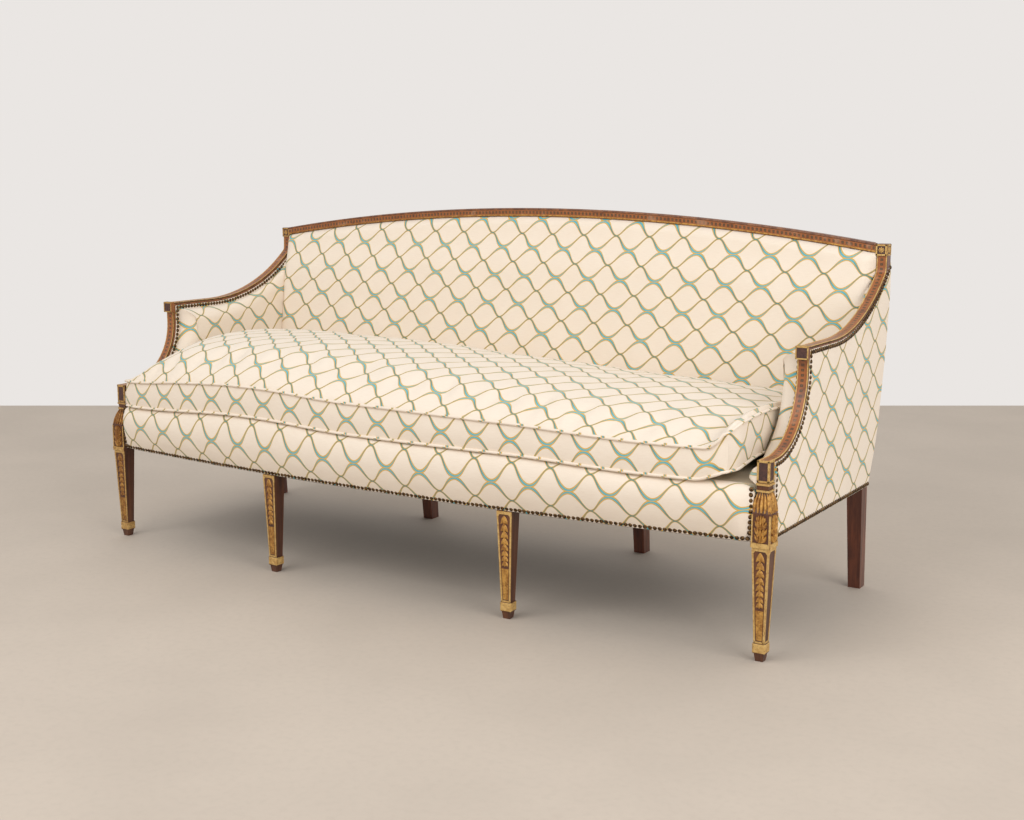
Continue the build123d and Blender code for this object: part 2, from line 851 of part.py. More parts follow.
def back_pad_body(extra=0.0):
    """Crowned part of the inside back, before its edges are rounded."""
    body = back_slab(
        -pad_half - extra, pad_half + extra, pad_base - extra, crest_height,
        shifted(pad_line, -extra), pad_back_line,
    )
    return body & under_crest(pad_drop - extra, pad_half + extra, pad_base - extra)


def back_pad_flange():
    """Edge of the inside back's cloth that is nailed to the frame."""
    flange = back_slab(-show_inside, show_inside, pad_base, crest_height, pad_back_line, front_line)
    flange &= under_crest(crest_lip_depth, show_inside, pad_base)
    return flange - under_crest(hessian_drop, hessian_half, 0)


def back_pad():
    """Inside back: crowned pad with a thin nailed edge."""
    body = back_pad_body()
    front_edges = [
        edge for edge in body.edges()
        if all(abs(v.Y - pad_line(v.Z)) < 0.5 for v in edge.vertices())
    ]
    pad = fillet(front_edges, back_pad_rounding) + back_pad_flange()
    return pad - right["rear_post"] - mirrored(right["rear_post"])


hessian_band = shifted(front_line, -back_webbing_thickness)
back_webbing = []
for index in range(back_webbing_count):
    strap_x = (index - (back_webbing_count - 1) / 2) * back_webbing_pitch
    strap_top = crest_z(abs(strap_x) + back_webbing_width / 2, hessian_drop)
    back_webbing.append(back_slab(
        strap_x - back_webbing_width / 2, strap_x + back_webbing_width / 2,
        lower_back_rail_base, strap_top, hessian_band, front_line,
    ))
back_hessian = back_slab(
    -hessian_half, hessian_half, lower_back_rail_base, crest_height,
    shifted(hessian_band, -layer_gap - back_hessian_thickness), shifted(hessian_band, -layer_gap),
) & under_crest(hessian_drop, hessian_half, 0)

outside_back = back_slab(
    -side_face, side_face, rail_underside, crest_height, rear_line, shifted(rear_line, back_cover_thickness))
outside_back &= under_crest(crest_lip_depth, side_face, 0)
outside_back -= right["rear_post"] + mirrored(right["rear_post"])


# Arm upholstery
def inside_arm_pad():
    """Inside arm: a nailed edge on the show-wood and a rounded pad that reaches the back."""
    flange_inset = support_show_depth + arm_flange_drop
    rim = flange_inset + pad_flange_width
    edge = arm_edges(flange_inset, flange_inset, front_line, pad_base, -arm_pad_toe)
    body = arm_edges(rim, rim, front_line, pad_base, -arm_pad_toe)
    inner = show_inside - arm_pad_thickness
    pad = side_shape(body, inner, show_inside - pad_flange)
    rounded = [e for e in pad.edges() if all(abs(v.X - inner) < 0.01 for v in e.vertices())]
    shown = [e for e in rounded if e.center().Z > pad_base + 1 and e.center().Y < front_line(arm_top) - 60]
    pad = fillet(shown, arm_pad_rounding)
    pad += side_shape(edge, show_inside - pad_flange, show_inside)
    return pad - back_pad_body(0.1) - back_pad_flange() - right["front_leg"]


def outside_arm_cover():
    """Cloth over the outside of the arm, from the show-wood down to the rail's underside."""
    rear = shifted(rear_line, back_cover_thickness)
    edges = arm_edges(support_show_depth, arm_show_depth, rear, rail_underside, post_rear + 0.5)
    return side_shape(edges, side_face, cover_face)


right["inside_arm_pad"] = inside_arm_pad()
right["outside_arm_cover"] = outside_arm_cover()


# Loose cushion
cushion_half = show_inside - arm_pad_thickness - welt_diameter - cushion_side_gap
cushion_base = deck_height + cushion_clearance
cushion_shoulder = cushion_base + cushion_boxing
cushion_rear = pad_line(cushion_base) - welt_diameter - cushion_rear_gap


def cushion_section(x, inset):
    """Side view of the cushion at x: flat base, drawn-in sides, crowned top that is fuller on the left."""
    place = x / cushion_half
    step = min(1.0, max(0.0, (place - cushion_fall_start) / cushion_fall_length))
    fall = step**2 * (3 - 2 * step)
    full = cushion_crown_left + (cushion_crown_right - cushion_crown_left) * fall
    crown = cushion_crown_end + (full - cushion_crown_end) * sqrt(max(0.0, 1 - place**8))
    front = bow_y(min(abs(x), post_inside)) - cushion_overhang + inset
    rear = cushion_rear - inset
    low = cushion_base + inset
    high = cushion_shoulder - inset / 2
    draw = cushion_side_draw
    waist = (low + high) / 2
    top = EllipticalCenterArc(
        ((front + rear) / 2, high), (rear - front) / 2, crown - inset / 2, arc_size=180)
    edges = [
        Line((front, low), (rear, low)),
        ThreePointArc((rear, low), (rear - draw, waist), (rear, high)),
        top,
        ThreePointArc((front, high), (front + draw, waist), (front, low)),
    ]
    return Pos(x, 0, 0) * (Plane.YZ * make_face(edges))


def cushion_form(inset):
    """Crowned cushion as a loft of side views."""
    end = cushion_half - inset
    right_half = [0.25, 0.5, 0.72, 0.88, 0.96, 1]
    shares = [-share for share in reversed(right_half)] + [0] + right_half
    return loft([cushion_section(share * end, inset) for share in shares])


def welt(height):
    """Round welt outside a seam of the cushion, with its corners rounded."""
    away = welt_diameter / 2 + seam_clearance
    half = cushion_half + away
    rear = cushion_rear + away
    edge = bow_y(half, -away) - cushion_overhang
    outline = make_face([
        ThreePointArc((-half, edge), (0, bow_y(0, -away) - cushion_overhang), (half, edge)),
        Line((half, edge), (half, rear)),
        Line((half, rear), (-half, rear)),
        Line((-half, rear), (-half, edge)),
    ])
    outline = fillet(outline.vertices(), away)
    path = Pos(0, 0, height) * outline.wire()
    start = Plane(origin=path @ 0, z_dir=path % 0)
    return sweep(start * Circle(welt_diameter / 2), path=path)


cushion_outer = cushion_form(0)
cushion_fill = cushion_form(cushion_cloth)
cushion_cover = cushion_outer - cushion_fill
top_welt = welt(cushion_shoulder)
bottom_welt = welt(cushion_base + welt_diameter / 2 + welt_rise)
zip_height = (cushion_base + cushion_shoulder) / 2
cushion_zip = block(
    -zip_length / 2, zip_length / 2, cushion_rear - cushion_side_draw - 2, cushion_rear + zip_thickness,
    zip_height - zip_width / 2, zip_height + zip_width / 2,
) - cushion_form(-zip_clearance)


# Nails
def nail():
    """Round-headed nail, head on top of the local XY plane."""
    head = nail_head_diameter / 2
    shank = nail_shank_diameter / 2
    edges = [
        Line((0, -nail_shank_length), (shank, -nail_shank_length)),
        Line((shank, -nail_shank_length), (shank, 0)),
        Line((shank, 0), (head, 0)),
        Line((head, 0), (head * 0.82, nail_head_height * 0.6)),
        Line((head * 0.82, nail_head_height * 0.6), (head * 0.4, nail_head_height)),
        Line((head * 0.4, nail_head_height), (0, nail_head_height)),
        Line((0, nail_head_height), (0, -nail_shank_length)),
    ]
    return revolve(Plane.XZ * make_face(edges), axis=Axis.Z)


one_nail = nail()


def nail_row(path, normal):
    """Nails at even spacing along a path; normal gives the way they face at a point."""
    count = max(2, round(path.length / nail_spacing))
    row = []
    for index in range(count + 1):
        point = path @ (index / count)
        row.append(Plane(origin=point, z_dir=normal(point)).location * one_nail)
    return row


def side_path(edges, x):
    """Path of (y, z) edges on an X plane."""
    return Pos(x, 0, 0) * (Plane.YZ * Wire(edges))


def arm_path(inset, rear, front):
    """Path along the arm support and the arm, moved in from the show-wood's edge."""
    angle = bend_angle_at(inset, rear)
    low = support_centre_z - support_radius - inset
    upright = support_back(inset)
    return [
        Line((front, low), (support_centre_y, low)),
        support_arc(inset),
        Line((upright, support_centre_z), (upright, arm_top - inset)),
        Line((upright, arm_top - inset), (arm_bend_start, arm_top - inset)),
        arm_arc(inset, angle),
    ]


def facing(direction):
    return lambda point: direction


row_height = rail_underside + nail_edge
border_edge = post_inside - nail_edge
border_path = ThreePointArc(
    (-border_edge, bow_y(border_edge, -border_flange), row_height),
    (0, bow_y(0, -border_flange), row_height),
    (border_edge, bow_y(border_edge, -border_flange), row_height),
)
front_border_nails = nail_row(border_path, lambda p: (p.X, p.Y - bow_centre, 0))

outer_inset = max(arm_show_depth, support_show_depth) + nail_edge
outer_front = post_rear + nail_edge + 1
outer_rear = shifted(rear_line, back_cover_thickness - nail_edge)
outer_row = nail_row(side_path(arm_path(outer_inset, outer_rear, outer_front), cover_face), facing(along_x))
outer_row += nail_row(
    side_path([Line((outer_front, row_height), (outer_front, head_top - outer_inset - nail_spacing))],
              cover_face),
    facing(along_x),
)
outer_row += nail_row(
    side_path([Line((outer_front + nail_spacing, row_height), (outer_rear(row_height), row_height))],
              cover_face),
    facing(along_x),
)
inner_inset = support_show_depth + arm_flange_drop + nail_edge
inner_row = nail_row(
    side_path(arm_path(inner_inset, shifted(pad_back_line, -nail_edge), post_rear + nail_edge + 2),
              show_inside - pad_flange),
    facing((-1, 0, 0)),
)


def crest_row(drop, half_width, line, count):
    """Points under the crest line, on a surface of the back."""
    points = []
    for index in range(count + 1):
        x = half_width * (2 * index / count - 1)
        z = crest_z(x, drop)
        points.append((x, line(z), z))
    return points


def back_nail(point, line, way):
    """Nail on the front or rear surface of the back."""
    x, y, z = point
    slope = line(z + 0.5) - line(z - 0.5)
    return Plane(origin=point, z_dir=(0, way, -way * slope)).location * one_nail


crest_half = rear_post_inside - nail_edge
crest_count = round(2 * crest_half / nail_spacing)
crest_nails = [
    back_nail(point, pad_back_line, -1)
    for point in crest_row(crest_lip_depth + nail_edge, crest_half, pad_back_line, crest_count)
]
back_face = shifted(rear_line, back_cover_thickness)
back_half = side_face - nail_edge
back_points = crest_row(crest_lip_depth + nail_edge, back_half, back_face, round(2 * back_half / nail_spacing))
side_top = crest_z(back_half, crest_lip_depth + nail_edge) - nail_spacing
side_count = round((side_top - row_height) / nail_spacing)
for index in range(side_count + 1):
    side_z = row_height + (side_top - row_height) * index / side_count
    back_points += [(way * back_half, back_face(side_z), side_z) for way in (-1, 1)]
outside_back_nails = [back_nail(point, back_face, 1) for point in back_points]

# All nodes
nodes = {}
for name, shape in right.items():
    nodes[name + "_right"] = shape
    nodes[name + "_left"] = mirrored(shape)
nodes.update(middle)
nodes.update(seat_sheets)
nodes["dust_cover"] = dust_cover
nodes["front_border"] = front_border()
nodes["inside_back_pad"] = back_pad()
nodes["back_hessian"] = back_hessian
nodes["outside_back_cover"] = outside_back
nodes["cushion_cover"] = cushion_cover
nodes["cushion_fill"] = cushion_fill
nodes["cushion_top_welt"] = top_welt
nodes["cushion_bottom_welt"] = bottom_welt
nodes["cushion_zip"] = cushion_zip
groups = {
    "frame_dowels": dowels + [mirrored(pin) for pin in dowels],
    "corner_block_screws": screws + [mirrored(pin) for pin in screws],
    "seat_springs": springs,
    "seat_spring_clips": clips,
    "back_webbing": back_webbing,
    "front_border_nails": front_border_nails,
    "outside_arm_nails_right": outer_row,
    "outside_arm_nails_left": [mirrored(pin) for pin in outer_row],
    "inside_arm_nails_right": inner_row,
    "inside_arm_nails_left": [mirrored(pin) for pin in inner_row],
    "crest_nails": crest_nails,
    "outside_back_nails": outside_back_nails,
}
for name, members in groups.items():
    nodes[name] = Compound([solid for member in members for solid in member.solids()])

# The origin goes to the floor under the middle of the sofa
depths = [shape.bounding_box() for shape in nodes.values()]
shift = -(min(box.min.Y for box in depths) + max(box.max.Y for box in depths)) / 2
os.makedirs("parts", exist_ok=True)
for name, shape in nodes.items():
    export_step(Pos(0, shift, 0) * shape, f"parts/{name}.step")
print("nodes", len(nodes), "shift", round(shift, 3))
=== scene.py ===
import json
from math import asin, cos, pi, radians, sin, sqrt

import bmesh
import bpy
import numpy as np
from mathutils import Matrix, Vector, noise


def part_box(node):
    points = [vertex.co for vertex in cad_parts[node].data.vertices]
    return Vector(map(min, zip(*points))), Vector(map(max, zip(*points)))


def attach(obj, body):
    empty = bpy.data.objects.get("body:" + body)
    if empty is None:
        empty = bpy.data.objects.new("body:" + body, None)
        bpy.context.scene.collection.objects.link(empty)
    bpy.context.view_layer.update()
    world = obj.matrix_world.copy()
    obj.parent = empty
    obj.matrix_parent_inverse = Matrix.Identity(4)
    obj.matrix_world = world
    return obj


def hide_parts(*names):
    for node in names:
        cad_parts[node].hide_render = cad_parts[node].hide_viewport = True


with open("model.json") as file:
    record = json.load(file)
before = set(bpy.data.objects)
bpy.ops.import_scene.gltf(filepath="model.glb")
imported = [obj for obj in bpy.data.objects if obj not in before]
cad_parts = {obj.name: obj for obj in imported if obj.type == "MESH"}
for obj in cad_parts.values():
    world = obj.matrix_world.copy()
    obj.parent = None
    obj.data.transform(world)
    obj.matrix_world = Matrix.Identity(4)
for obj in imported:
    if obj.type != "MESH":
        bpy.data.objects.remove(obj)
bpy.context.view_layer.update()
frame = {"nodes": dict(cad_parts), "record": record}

# Metres. Sizes that the part's source has too are repeated here under the same names. Pieces are drawn
# with y = 0 on the line through the front corner legs, as there, and front_y puts them in the frame.
leg_low, leg_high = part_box("front_leg_right")
front_y = (leg_low.y + leg_high.y) / 2
sides = (("left", -1), ("right", 1))
upwards = Vector((0, 0, 1))

half_span = 0.950
post_size = 0.040
side_face = 0.958
cover_face = 0.961
show_inside = 0.936
show_width = cover_face - show_inside
post_inside = half_span - post_size / 2
post_rear = post_size / 2
rear_post_inside = 0.923
rail_underside = 0.256
rail_top = 0.348
deck_height = 0.374
front_bow = 0.058
bow_edge = -0.012
head_top = 0.427
head_size = 0.026
vase_waist = 0.023
rear_rail_face = 0.618
post_depth = 0.038
back_rise = 0.536
back_reach = 0.103
back_sag = 0.027
upright_top_depth = 0.028
post_top = 0.836
rosette_size = 0.027
rosette_proud = 0.004
crest_height = 0.909
crest_rise = 0.074
crest_lip_depth = 0.022
back_cover_thickness = 0.005
arm_top = 0.640
arm_front = 0.183
arm_thickness = 0.026
arm_show_depth = 0.006
arm_block_proud = 0.002
arm_bend_start = 0.350
arm_bend_radius = 0.516
support_radius = 0.160
support_foot = 0.010
arm_pad_thickness = 0.047
back_pad_base = 0.030
back_pad_middle = 0.053
back_pad_top = 0.028
pad_base = 0.376
nail_pitch = 0.0113
bow_radius = (post_inside**2 + front_bow**2) / (2 * front_bow)
bow_centre = bow_edge - front_bow + bow_radius
crest_radius = (half_span**2 + crest_rise**2) / (2 * crest_rise)
support_centre_y = post_rear + support_foot
support_centre_z = head_top + support_radius
arm_bend_centre_z = arm_top + arm_bend_radius


def bow_y(x, behind=0.0):
    """Depth of the bowed line that lies the given distance behind the front rail's face."""
    return bow_centre - np.sqrt((bow_radius - behind) ** 2 - np.asarray(x) ** 2)


def arc_line(low, middle, high):
    """Circle through three (y, z) points, as a function that gives y at a height."""
    (ay, az), (by, bz), (cy, cz) = low, middle, high
    d = 2 * (ay * (bz - cz) + by * (cz - az) + cy * (az - bz))
    sa, sb, sc = ay**2 + az**2, by**2 + bz**2, cy**2 + cz**2
    centre_y = (sa * (bz - cz) + sb * (cz - az) + sc * (az - bz)) / d
    centre_z = (sa * (cy - by) + sb * (ay - cy) + sc * (by - ay)) / d
    radius = sqrt((ay - centre_y) ** 2 + (az - centre_z) ** 2)
    return lambda z: centre_y + np.sqrt(radius**2 - (np.asarray(z) - centre_z) ** 2)


def back_curve(base, top):
    """Curved side-view line of the back between two depths."""
    return arc_line(
        (base, rail_underside),
        ((base + top) / 2 + back_sag, rail_underside + back_rise / 2),
        (top, rail_underside + back_rise),
    )


rear_line = back_curve(rear_rail_face, rear_rail_face + back_reach)
front_line = back_curve(rear_rail_face - post_depth, rear_rail_face + back_reach - upright_top_depth)
pad_middle = (deck_height + crest_height) / 2
pad_line = arc_line(
    (front_line(deck_height) - back_pad_base, deck_height),
    (front_line(pad_middle) - back_pad_middle, pad_middle),
    (front_line(crest_height) - back_pad_top, crest_height),
)


def crest_z(x, drop=0.0):
    """Height of the arched crest line at x, lowered by drop."""
    return crest_height - drop - crest_radius + np.sqrt(crest_radius**2 - np.asarray(x) ** 2)


def smooth(t):
    """Smooth step from 0 to 1."""
    t = np.clip(t, 0.0, 1.0)
    return t * t * (3 - 2 * t)


def rounded(t):
    """Quarter-round from 0 to 1."""
    t = np.clip(t, 0.0, 1.0)
    return np.sqrt(1 - (1 - t) ** 2)


def ripple(x, y, z, scale, seed):
    """Smooth noise from -1 to 1 at points."""
    shift = Vector((seed, 2.3 * seed, -seed))
    return np.vectorize(lambda *place: noise.noise(Vector(place) / scale + shift))(x, y, z)


def arc_lengths(points):
    """Running length along a row of points."""
    steps = np.linalg.norm(np.diff(points, axis=0), axis=1)
    return np.concatenate([[0.0], np.cumsum(steps)])


def resample(points, count):
    """The same open path with evenly spaced points."""
    points = np.asarray(points, float)
    along = arc_lengths(points)
    targets = np.linspace(0, along[-1], count)
    return np.stack([np.interp(targets, along, part) for part in points.T], axis=1)


def curve_through(points, count):
    """Smooth open path through a few points, evenly resampled."""
    points = np.asarray(points, float)
    padded = np.vstack([2 * points[0] - points[1], points, 2 * points[-1] - points[-2]])
    out = []
    for k in range(1, len(padded) - 2):
        p0, p1, p2, p3 = padded[k - 1:k + 3]
        for t in np.linspace(0, 1, 24, endpoint=False):
            bend = (2 * p0 - 5 * p1 + 4 * p2 - p3) * t**2 + (3 * p1 - p0 - 3 * p2 + p3) * t**3
            out.append(0.5 * (2 * p1 + (p2 - p0) * t + bend))
    return resample(out + [points[-1]], count)


def path_normals(path, towards=None):
    """Side-view normals of a path of (y, z) points, on the side of a direction where one is given."""
    tangent = np.gradient(np.asarray(path, float), axis=0)
    tangent /= np.linalg.norm(tangent, axis=1)[:, None]
    normal = np.stack([-tangent[:, 1], tangent[:, 0]], 1)
    return normal if towards is None else normal * np.sign(normal @ np.array(towards))[:, None]


# Building meshes
def make_piece(name, vertices, faces, uvs, material, body="frame", sharp=50.0):
    """Mesh object from vertices in the drawing frame and one (u, v) per face corner."""
    mesh = bpy.data.meshes.new(name)
    placed = np.asarray(vertices, float) + np.array([0.0, front_y, 0.0])
    mesh.from_pydata([tuple(p) for p in placed], [], faces)
    if uvs is not None:
        layer = mesh.uv_layers.new(name="cloth")
        layer.data.foreach_set("uv", np.asarray(uvs, np.float32).ravel())
    mesh.validate()
    mesh.update()
    for polygon in mesh.polygons:
        polygon.use_smooth = True
    mesh.set_sharp_from_angle(angle=radians(sharp))
    obj = bpy.data.objects.new(name, mesh)
    bpy.context.scene.collection.objects.link(obj)
    mesh.materials.append(material)
    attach(obj, body)
    return obj


def turned_out(piece):
    """The piece with all faces of its closed forms turned outwards."""
    shell = bmesh.new()
    shell.from_mesh(piece.data)
    bmesh.ops.recalc_face_normals(shell, faces=shell.faces)
    shell.to_mesh(piece.data)
    shell.free()
    return piece


def ring_faces(low, high):
    """Quads between two closed rings of vertices."""
    count = len(low)
    return [(low[k], low[k + 1 - count], high[k + 1 - count], high[k]) for k in range(count)]


def grid_faces(rows, cols, start=0, flip=False):
    """Quads of a rows by cols block of vertices."""
    faces = []
    for j in range(rows - 1):
        for i in range(cols - 1):
            a = start + j * cols + i
            quad = (a, a + 1, a + cols + 1, a + cols)
            faces.append(quad[::-1] if flip else quad)
    return faces


def rim_of(rows, cols):
    """Vertices round the edge of a grid, in order."""
    rim = list(range(cols))
    rim += [j * cols + cols - 1 for j in range(1, rows)]
    rim += [(rows - 1) * cols + i for i in range(cols - 2, -1, -1)]
    rim += [j * cols for j in range(rows - 2, 0, -1)]
    return rim


def closed_sheet(name, front, back, uv, material, flip=False):
    """Closed piece between a grid of front points and the points behind them, each as x, y and z."""
    parts = np.stack(np.broadcast_arrays(*front, *back, *uv), axis=2)
    rows, cols = parts.shape[:2]
    count = rows * cols
    flat = parts.reshape(count, 8)
    faces = grid_faces(rows, cols, 0, flip) + grid_faces(rows, cols, count, not flip)
    rim = rim_of(rows, cols)
    for a, b in zip(rim, rim[1:] + rim[:1]):
        side = (b, a, a + count, b + count)
        faces.append(side[::-1] if flip else side)
    corner_uv = [flat[v % count, 6:] for face in faces for v in face]
    return make_piece(name, np.vstack([flat[:, :3], flat[:, 3:6]]), faces, corner_uv, material)


# Materials
class Value:
    """A node's output, with plain arithmetic that makes math nodes."""

    def __init__(self, nodes, socket):
        self.nodes = nodes
        self.socket = socket

    def __add__(self, other):
        return self.nodes.math("ADD", self, other)

    def __sub__(self, other):
        return self.nodes.math("SUBTRACT", self, other)

    def __mul__(self, other):
        return self.nodes.math("MULTIPLY", self, other)

    def __truediv__(self, other):
        return self.nodes.math("DIVIDE", self, other)

    def __abs__(self):
        return self.nodes.math("ABSOLUTE", self)


class Nodes:
    """Short calls for the nodes of one node tree."""

    def __init__(self, tree):
        self.tree = tree

    def put(self, value, socket):
        if isinstance(value, Value):
            self.tree.links.new(value.socket, socket)
        else:
            socket.default_value = value

    def node(self, kind, inputs, output=0, **settings):
        """New node with its inputs set or linked; gives one of its outputs."""
        made = self.tree.nodes.new("ShaderNode" + kind)
        for key, value in settings.items():
            setattr(made, key, value)
        for key, value in inputs.items():
            self.put(value, made.inputs[key])
        return Value(self, made.outputs[output])

    def math(self, operation, *values):
        return self.node("Math", dict(enumerate(values)), operation=operation)

    def sine(self, value):
        """Sine with one wave to each whole number."""
        return self.math("SINE", value * (2 * pi))

    def folded(self, value):
        """What is left of a value beyond its nearest whole number."""
        return self.math("WRAP", value, 0.5, -0.5)

    def mix(self, share, low, high):
        return self.node("Mix", {"Factor": share, 6: low, 7: high}, 2, data_type="RGBA")

    def ramp(self, value, low, high, out_low=0.0, out_high=1.0):
        """Smooth step between two values."""
        limits = {"From Min": low, "From Max": high, "To Min": out_low, "To Max": out_high}
        return self.node("MapRange", {"Value": value, **limits}, interpolation_type="SMOOTHSTEP")

    def uv(self):
        return self.node("UVMap", {}, uv_map="cloth")

    def place(self):
        return self.node("TexCoord", {}, "Object")

    def split(self, vector):
        first = self.node("SeparateXYZ", {0: vector})
        return [Value(self, socket) for socket in first.socket.node.outputs]

    def scaled(self, vector, scale):
        return self.node("Mapping", {"Vector": vector, "Scale": scale})

    def noise(self, vector, scale, detail=3.0, roughness=0.55):
        inputs = {"Vector": vector, "Scale": scale, "Detail": detail, "Roughness": roughness}
        return self.node("TexNoise", inputs, "Fac")

    def shown_as(self, ordinary, glow, output):
        """Gives the camera and reflections a plain glow, and leaves the ordinary surface to the light."""
        camera_ray = self.node("LightPath", {}, "Is Camera Ray")
        glossy_ray = self.node("LightPath", {}, "Is Glossy Ray")
        shown = self.math("MAXIMUM", camera_ray, glossy_ray)
        chosen = self.node("MixShader", {0: shown, 1: ordinary, 2: glow})
        self.put(chosen, self.tree.nodes[output].inputs["Surface"])


class Shader(Nodes):
    """A node material."""

    def __init__(self, name):
        self.material = bpy.data.materials.new(name)
        self.material.use_nodes = True
        super().__init__(self.material.node_tree)
        self.bsdf = self.tree.nodes["Principled BSDF"]

    def bump(self, height, strength, distance):
        made = self.node("Bump", {"Strength": strength, "Distance": distance, "Height": height})
        self.put(made, self.bsdf.inputs["Normal"])

    def finish(self, colour, roughness, constants):
        for key, value in {"Base Color": colour, "Roughness": roughness, **constants}.items():
            self.put(value, self.bsdf.inputs[key])
        return self.material


def srgb(red, green, blue):
    """Colour written as it should look on screen, 0 to 255."""
    linear = []
    for value in (red, green, blue):
        c = value / 255
        linear.append(c / 12.92 if c <= 0.04045 else ((c + 0.055) / 1.055) ** 2.4)
    return (*linear, 1.0)


# Trellis cloth. Its map counts repeats: u along the waves, v across them. Line halves are in millimetres,
# where a line is thin and where it is full. A falling line gains strand_lean, and a rising one loses it.
trellis_repeat = 0.082
trellis_width = 0.100
trellis_swing = 0.0190
trellis_gap = 0.0023
trellis_flat = 0.22
core_halves = (1.10, 1.85)
edge_halves = (2.85, 4.3)
strand_lean = 0.55
line_blur = 0.25
thread_pitch = 0.0011


def on_cloth(along, across, start, width=trellis_width, height=trellis_repeat):
    """Place on the trellis of points on a panel, from where a repeat starts there and its size."""
    return (along - start[0]) / width, (across - start[1]) / height


def trellis_cloth():
    """Cream cloth woven with teal and gold ogee lines."""
    shader = Shader("trellis_fabric")
    uv = shader.uv()
    metres = shader.scaled(uv, (trellis_width, trellis_repeat, 1))
    u, v, _ = shader.split(uv)
    gap = trellis_gap / trellis_repeat
    v = v + (0.25 + gap / 2)
    wave = shader.math("COSINE", u * (2 * pi))
    lean = shader.sine(u)
    up = (wave + lean * lean * trellis_flat) * (trellis_swing / trellis_repeat)
    steep = lean * (2 * pi * trellis_swing / trellis_width)
    stretch = shader.math("SQRT", steep * steep + 1.0)
    fuzz = (shader.noise(metres, 900.0, 2.0) - 0.5) * 0.5
    fullness = wave * 0.5 + 0.5
    halves = [shader.ramp(fullness, 0.0, 1.0, *half) for half in (core_halves, edge_halves)]

    def strand(offset, falling):
        """Core and whole width of one family of lines, full where it falls and thin where it rises."""
        away = abs(shader.folded(offset)) * (trellis_repeat * 1000) / stretch + fuzz
        return [shader.ramp(away - (half + falling * strand_lean), -line_blur, line_blur, 1.0, 0.0)
                for half in halves]

    pairs = zip(strand(v - up, lean), strand(v - (0.5 + gap) + up, lean * -1.0))
    core, line = [shader.math("MAXIMUM", even, odd) for even, odd in pairs]
    patches = shader.noise(metres, 9.0, 4.0)
    slubs = shader.noise(shader.scaled(uv, (trellis_width * 12, trellis_repeat * 240, 1)), 4.0, 2.0)
    cream = shader.mix(patches, srgb(247, 235, 220), srgb(243, 228, 210))
    cream = shader.mix(shader.ramp(slubs, 0.35, 0.75, 0.0, 0.35), cream, srgb(234, 216, 195))
    teal = shader.mix(shader.ramp(fullness, 0.15, 0.9), srgb(86, 140, 138), srgb(102, 184, 196))
    gold = shader.mix(fullness, srgb(216, 174, 86), srgb(226, 178, 78))
    colour = shader.mix(core, shader.mix(line, cream, gold), teal)
    weft, warp, _ = shader.split(shader.scaled(metres, (1 / thread_pitch, 1 / thread_pitch, 1)))
    weave = shader.sine(weft) * shader.sine(warp) * 0.5 + 0.5
    colour = shader.mix(shader.ramp(weave, 0.0, 1.0, 0.10, 0.0), colour, srgb(176, 156, 128))
    shader.bump(weave * 0.6 + line * 0.8 + slubs * 0.4, 0.35, 0.0006)
    sheen = {"Sheen Weight": 0.15, "Sheen Roughness": 0.5, "Specular IOR Level": 0.25}
    return shader.finish(colour, 0.86, sheen)


def plain_cloth(name, light, dark, pitch):
    """Plain woven cloth in object space."""
    shader = Shader(name)
    place = shader.place()
    x, y, z = shader.split(shader.scaled(place, (1 / pitch, 1 / pitch, 1 / pitch)))
    weave = shader.sine(x) * shader.sine(y + z)
    colour = shader.mix(shader.noise(place, 40.0, 4.0), dark, light)
    colour = shader.mix(shader.ramp(weave, -1.0, 1.0, 0.3, 0.0), colour, dark)
    shader.bump(weave, 0.3, pitch / 3)
    return shader.finish(colour, 0.9, {"Specular IOR Level": 0.2})


def grained_wood(name, light, dark, rough, along="z", coat=0.0):
    """Wood with long grain along one axis of the frame."""
    shader = Shader(name)
    place = shader.place()
    stretch = [4.0 if axis == along else 70.0 for axis in "xyz"]
    grain = shader.noise(shader.scaled(place, stretch), 1.0, 6.0, 0.65)
    pores = shader.noise(shader.scaled(place, [6 * s for s in stretch]), 1.0, 2.0)
    clouds = shader.noise(place, 9.0, 3.0)
    colour = shader.mix(shader.ramp(grain, 0.3, 0.7), dark, light)
    colour = shader.mix(shader.ramp(pores, 0.55, 0.75, 0.0, 0.5), colour, dark)
    colour = shader.mix(shader.ramp(clouds, 0.3, 0.8, 0.0, 0.35), colour, dark)
    shader.bump(grain + pores, 0.12, 0.0005)
    gloss = shader.ramp(grain, 0.2, 0.8, rough + 0.08, rough - 0.06)
    return shader.finish(colour, gloss, {"Coat Weight": coat, "Coat Roughness": 0.25})


def aged_metal(name, light, dark):
    """Metal with dark patches in its hollows."""
    shader = Shader(name)
    place = shader.place()
    stains = shader.noise(place, 260.0, 4.0)
    scratches = shader.noise(place, 1400.0, 2.0)
    shader.bump(scratches, 0.15, 0.0002)
    colour = shader.mix(shader.ramp(stains, 0.35, 0.65), dark, light)
    return shader.finish(colour, shader.ramp(scratches, 0.2, 0.8, 0.28, 0.54), {"Metallic": 1.0})


# Painted bands have a map in metres: u along the band, v across it
motif_pitch = 0.0112


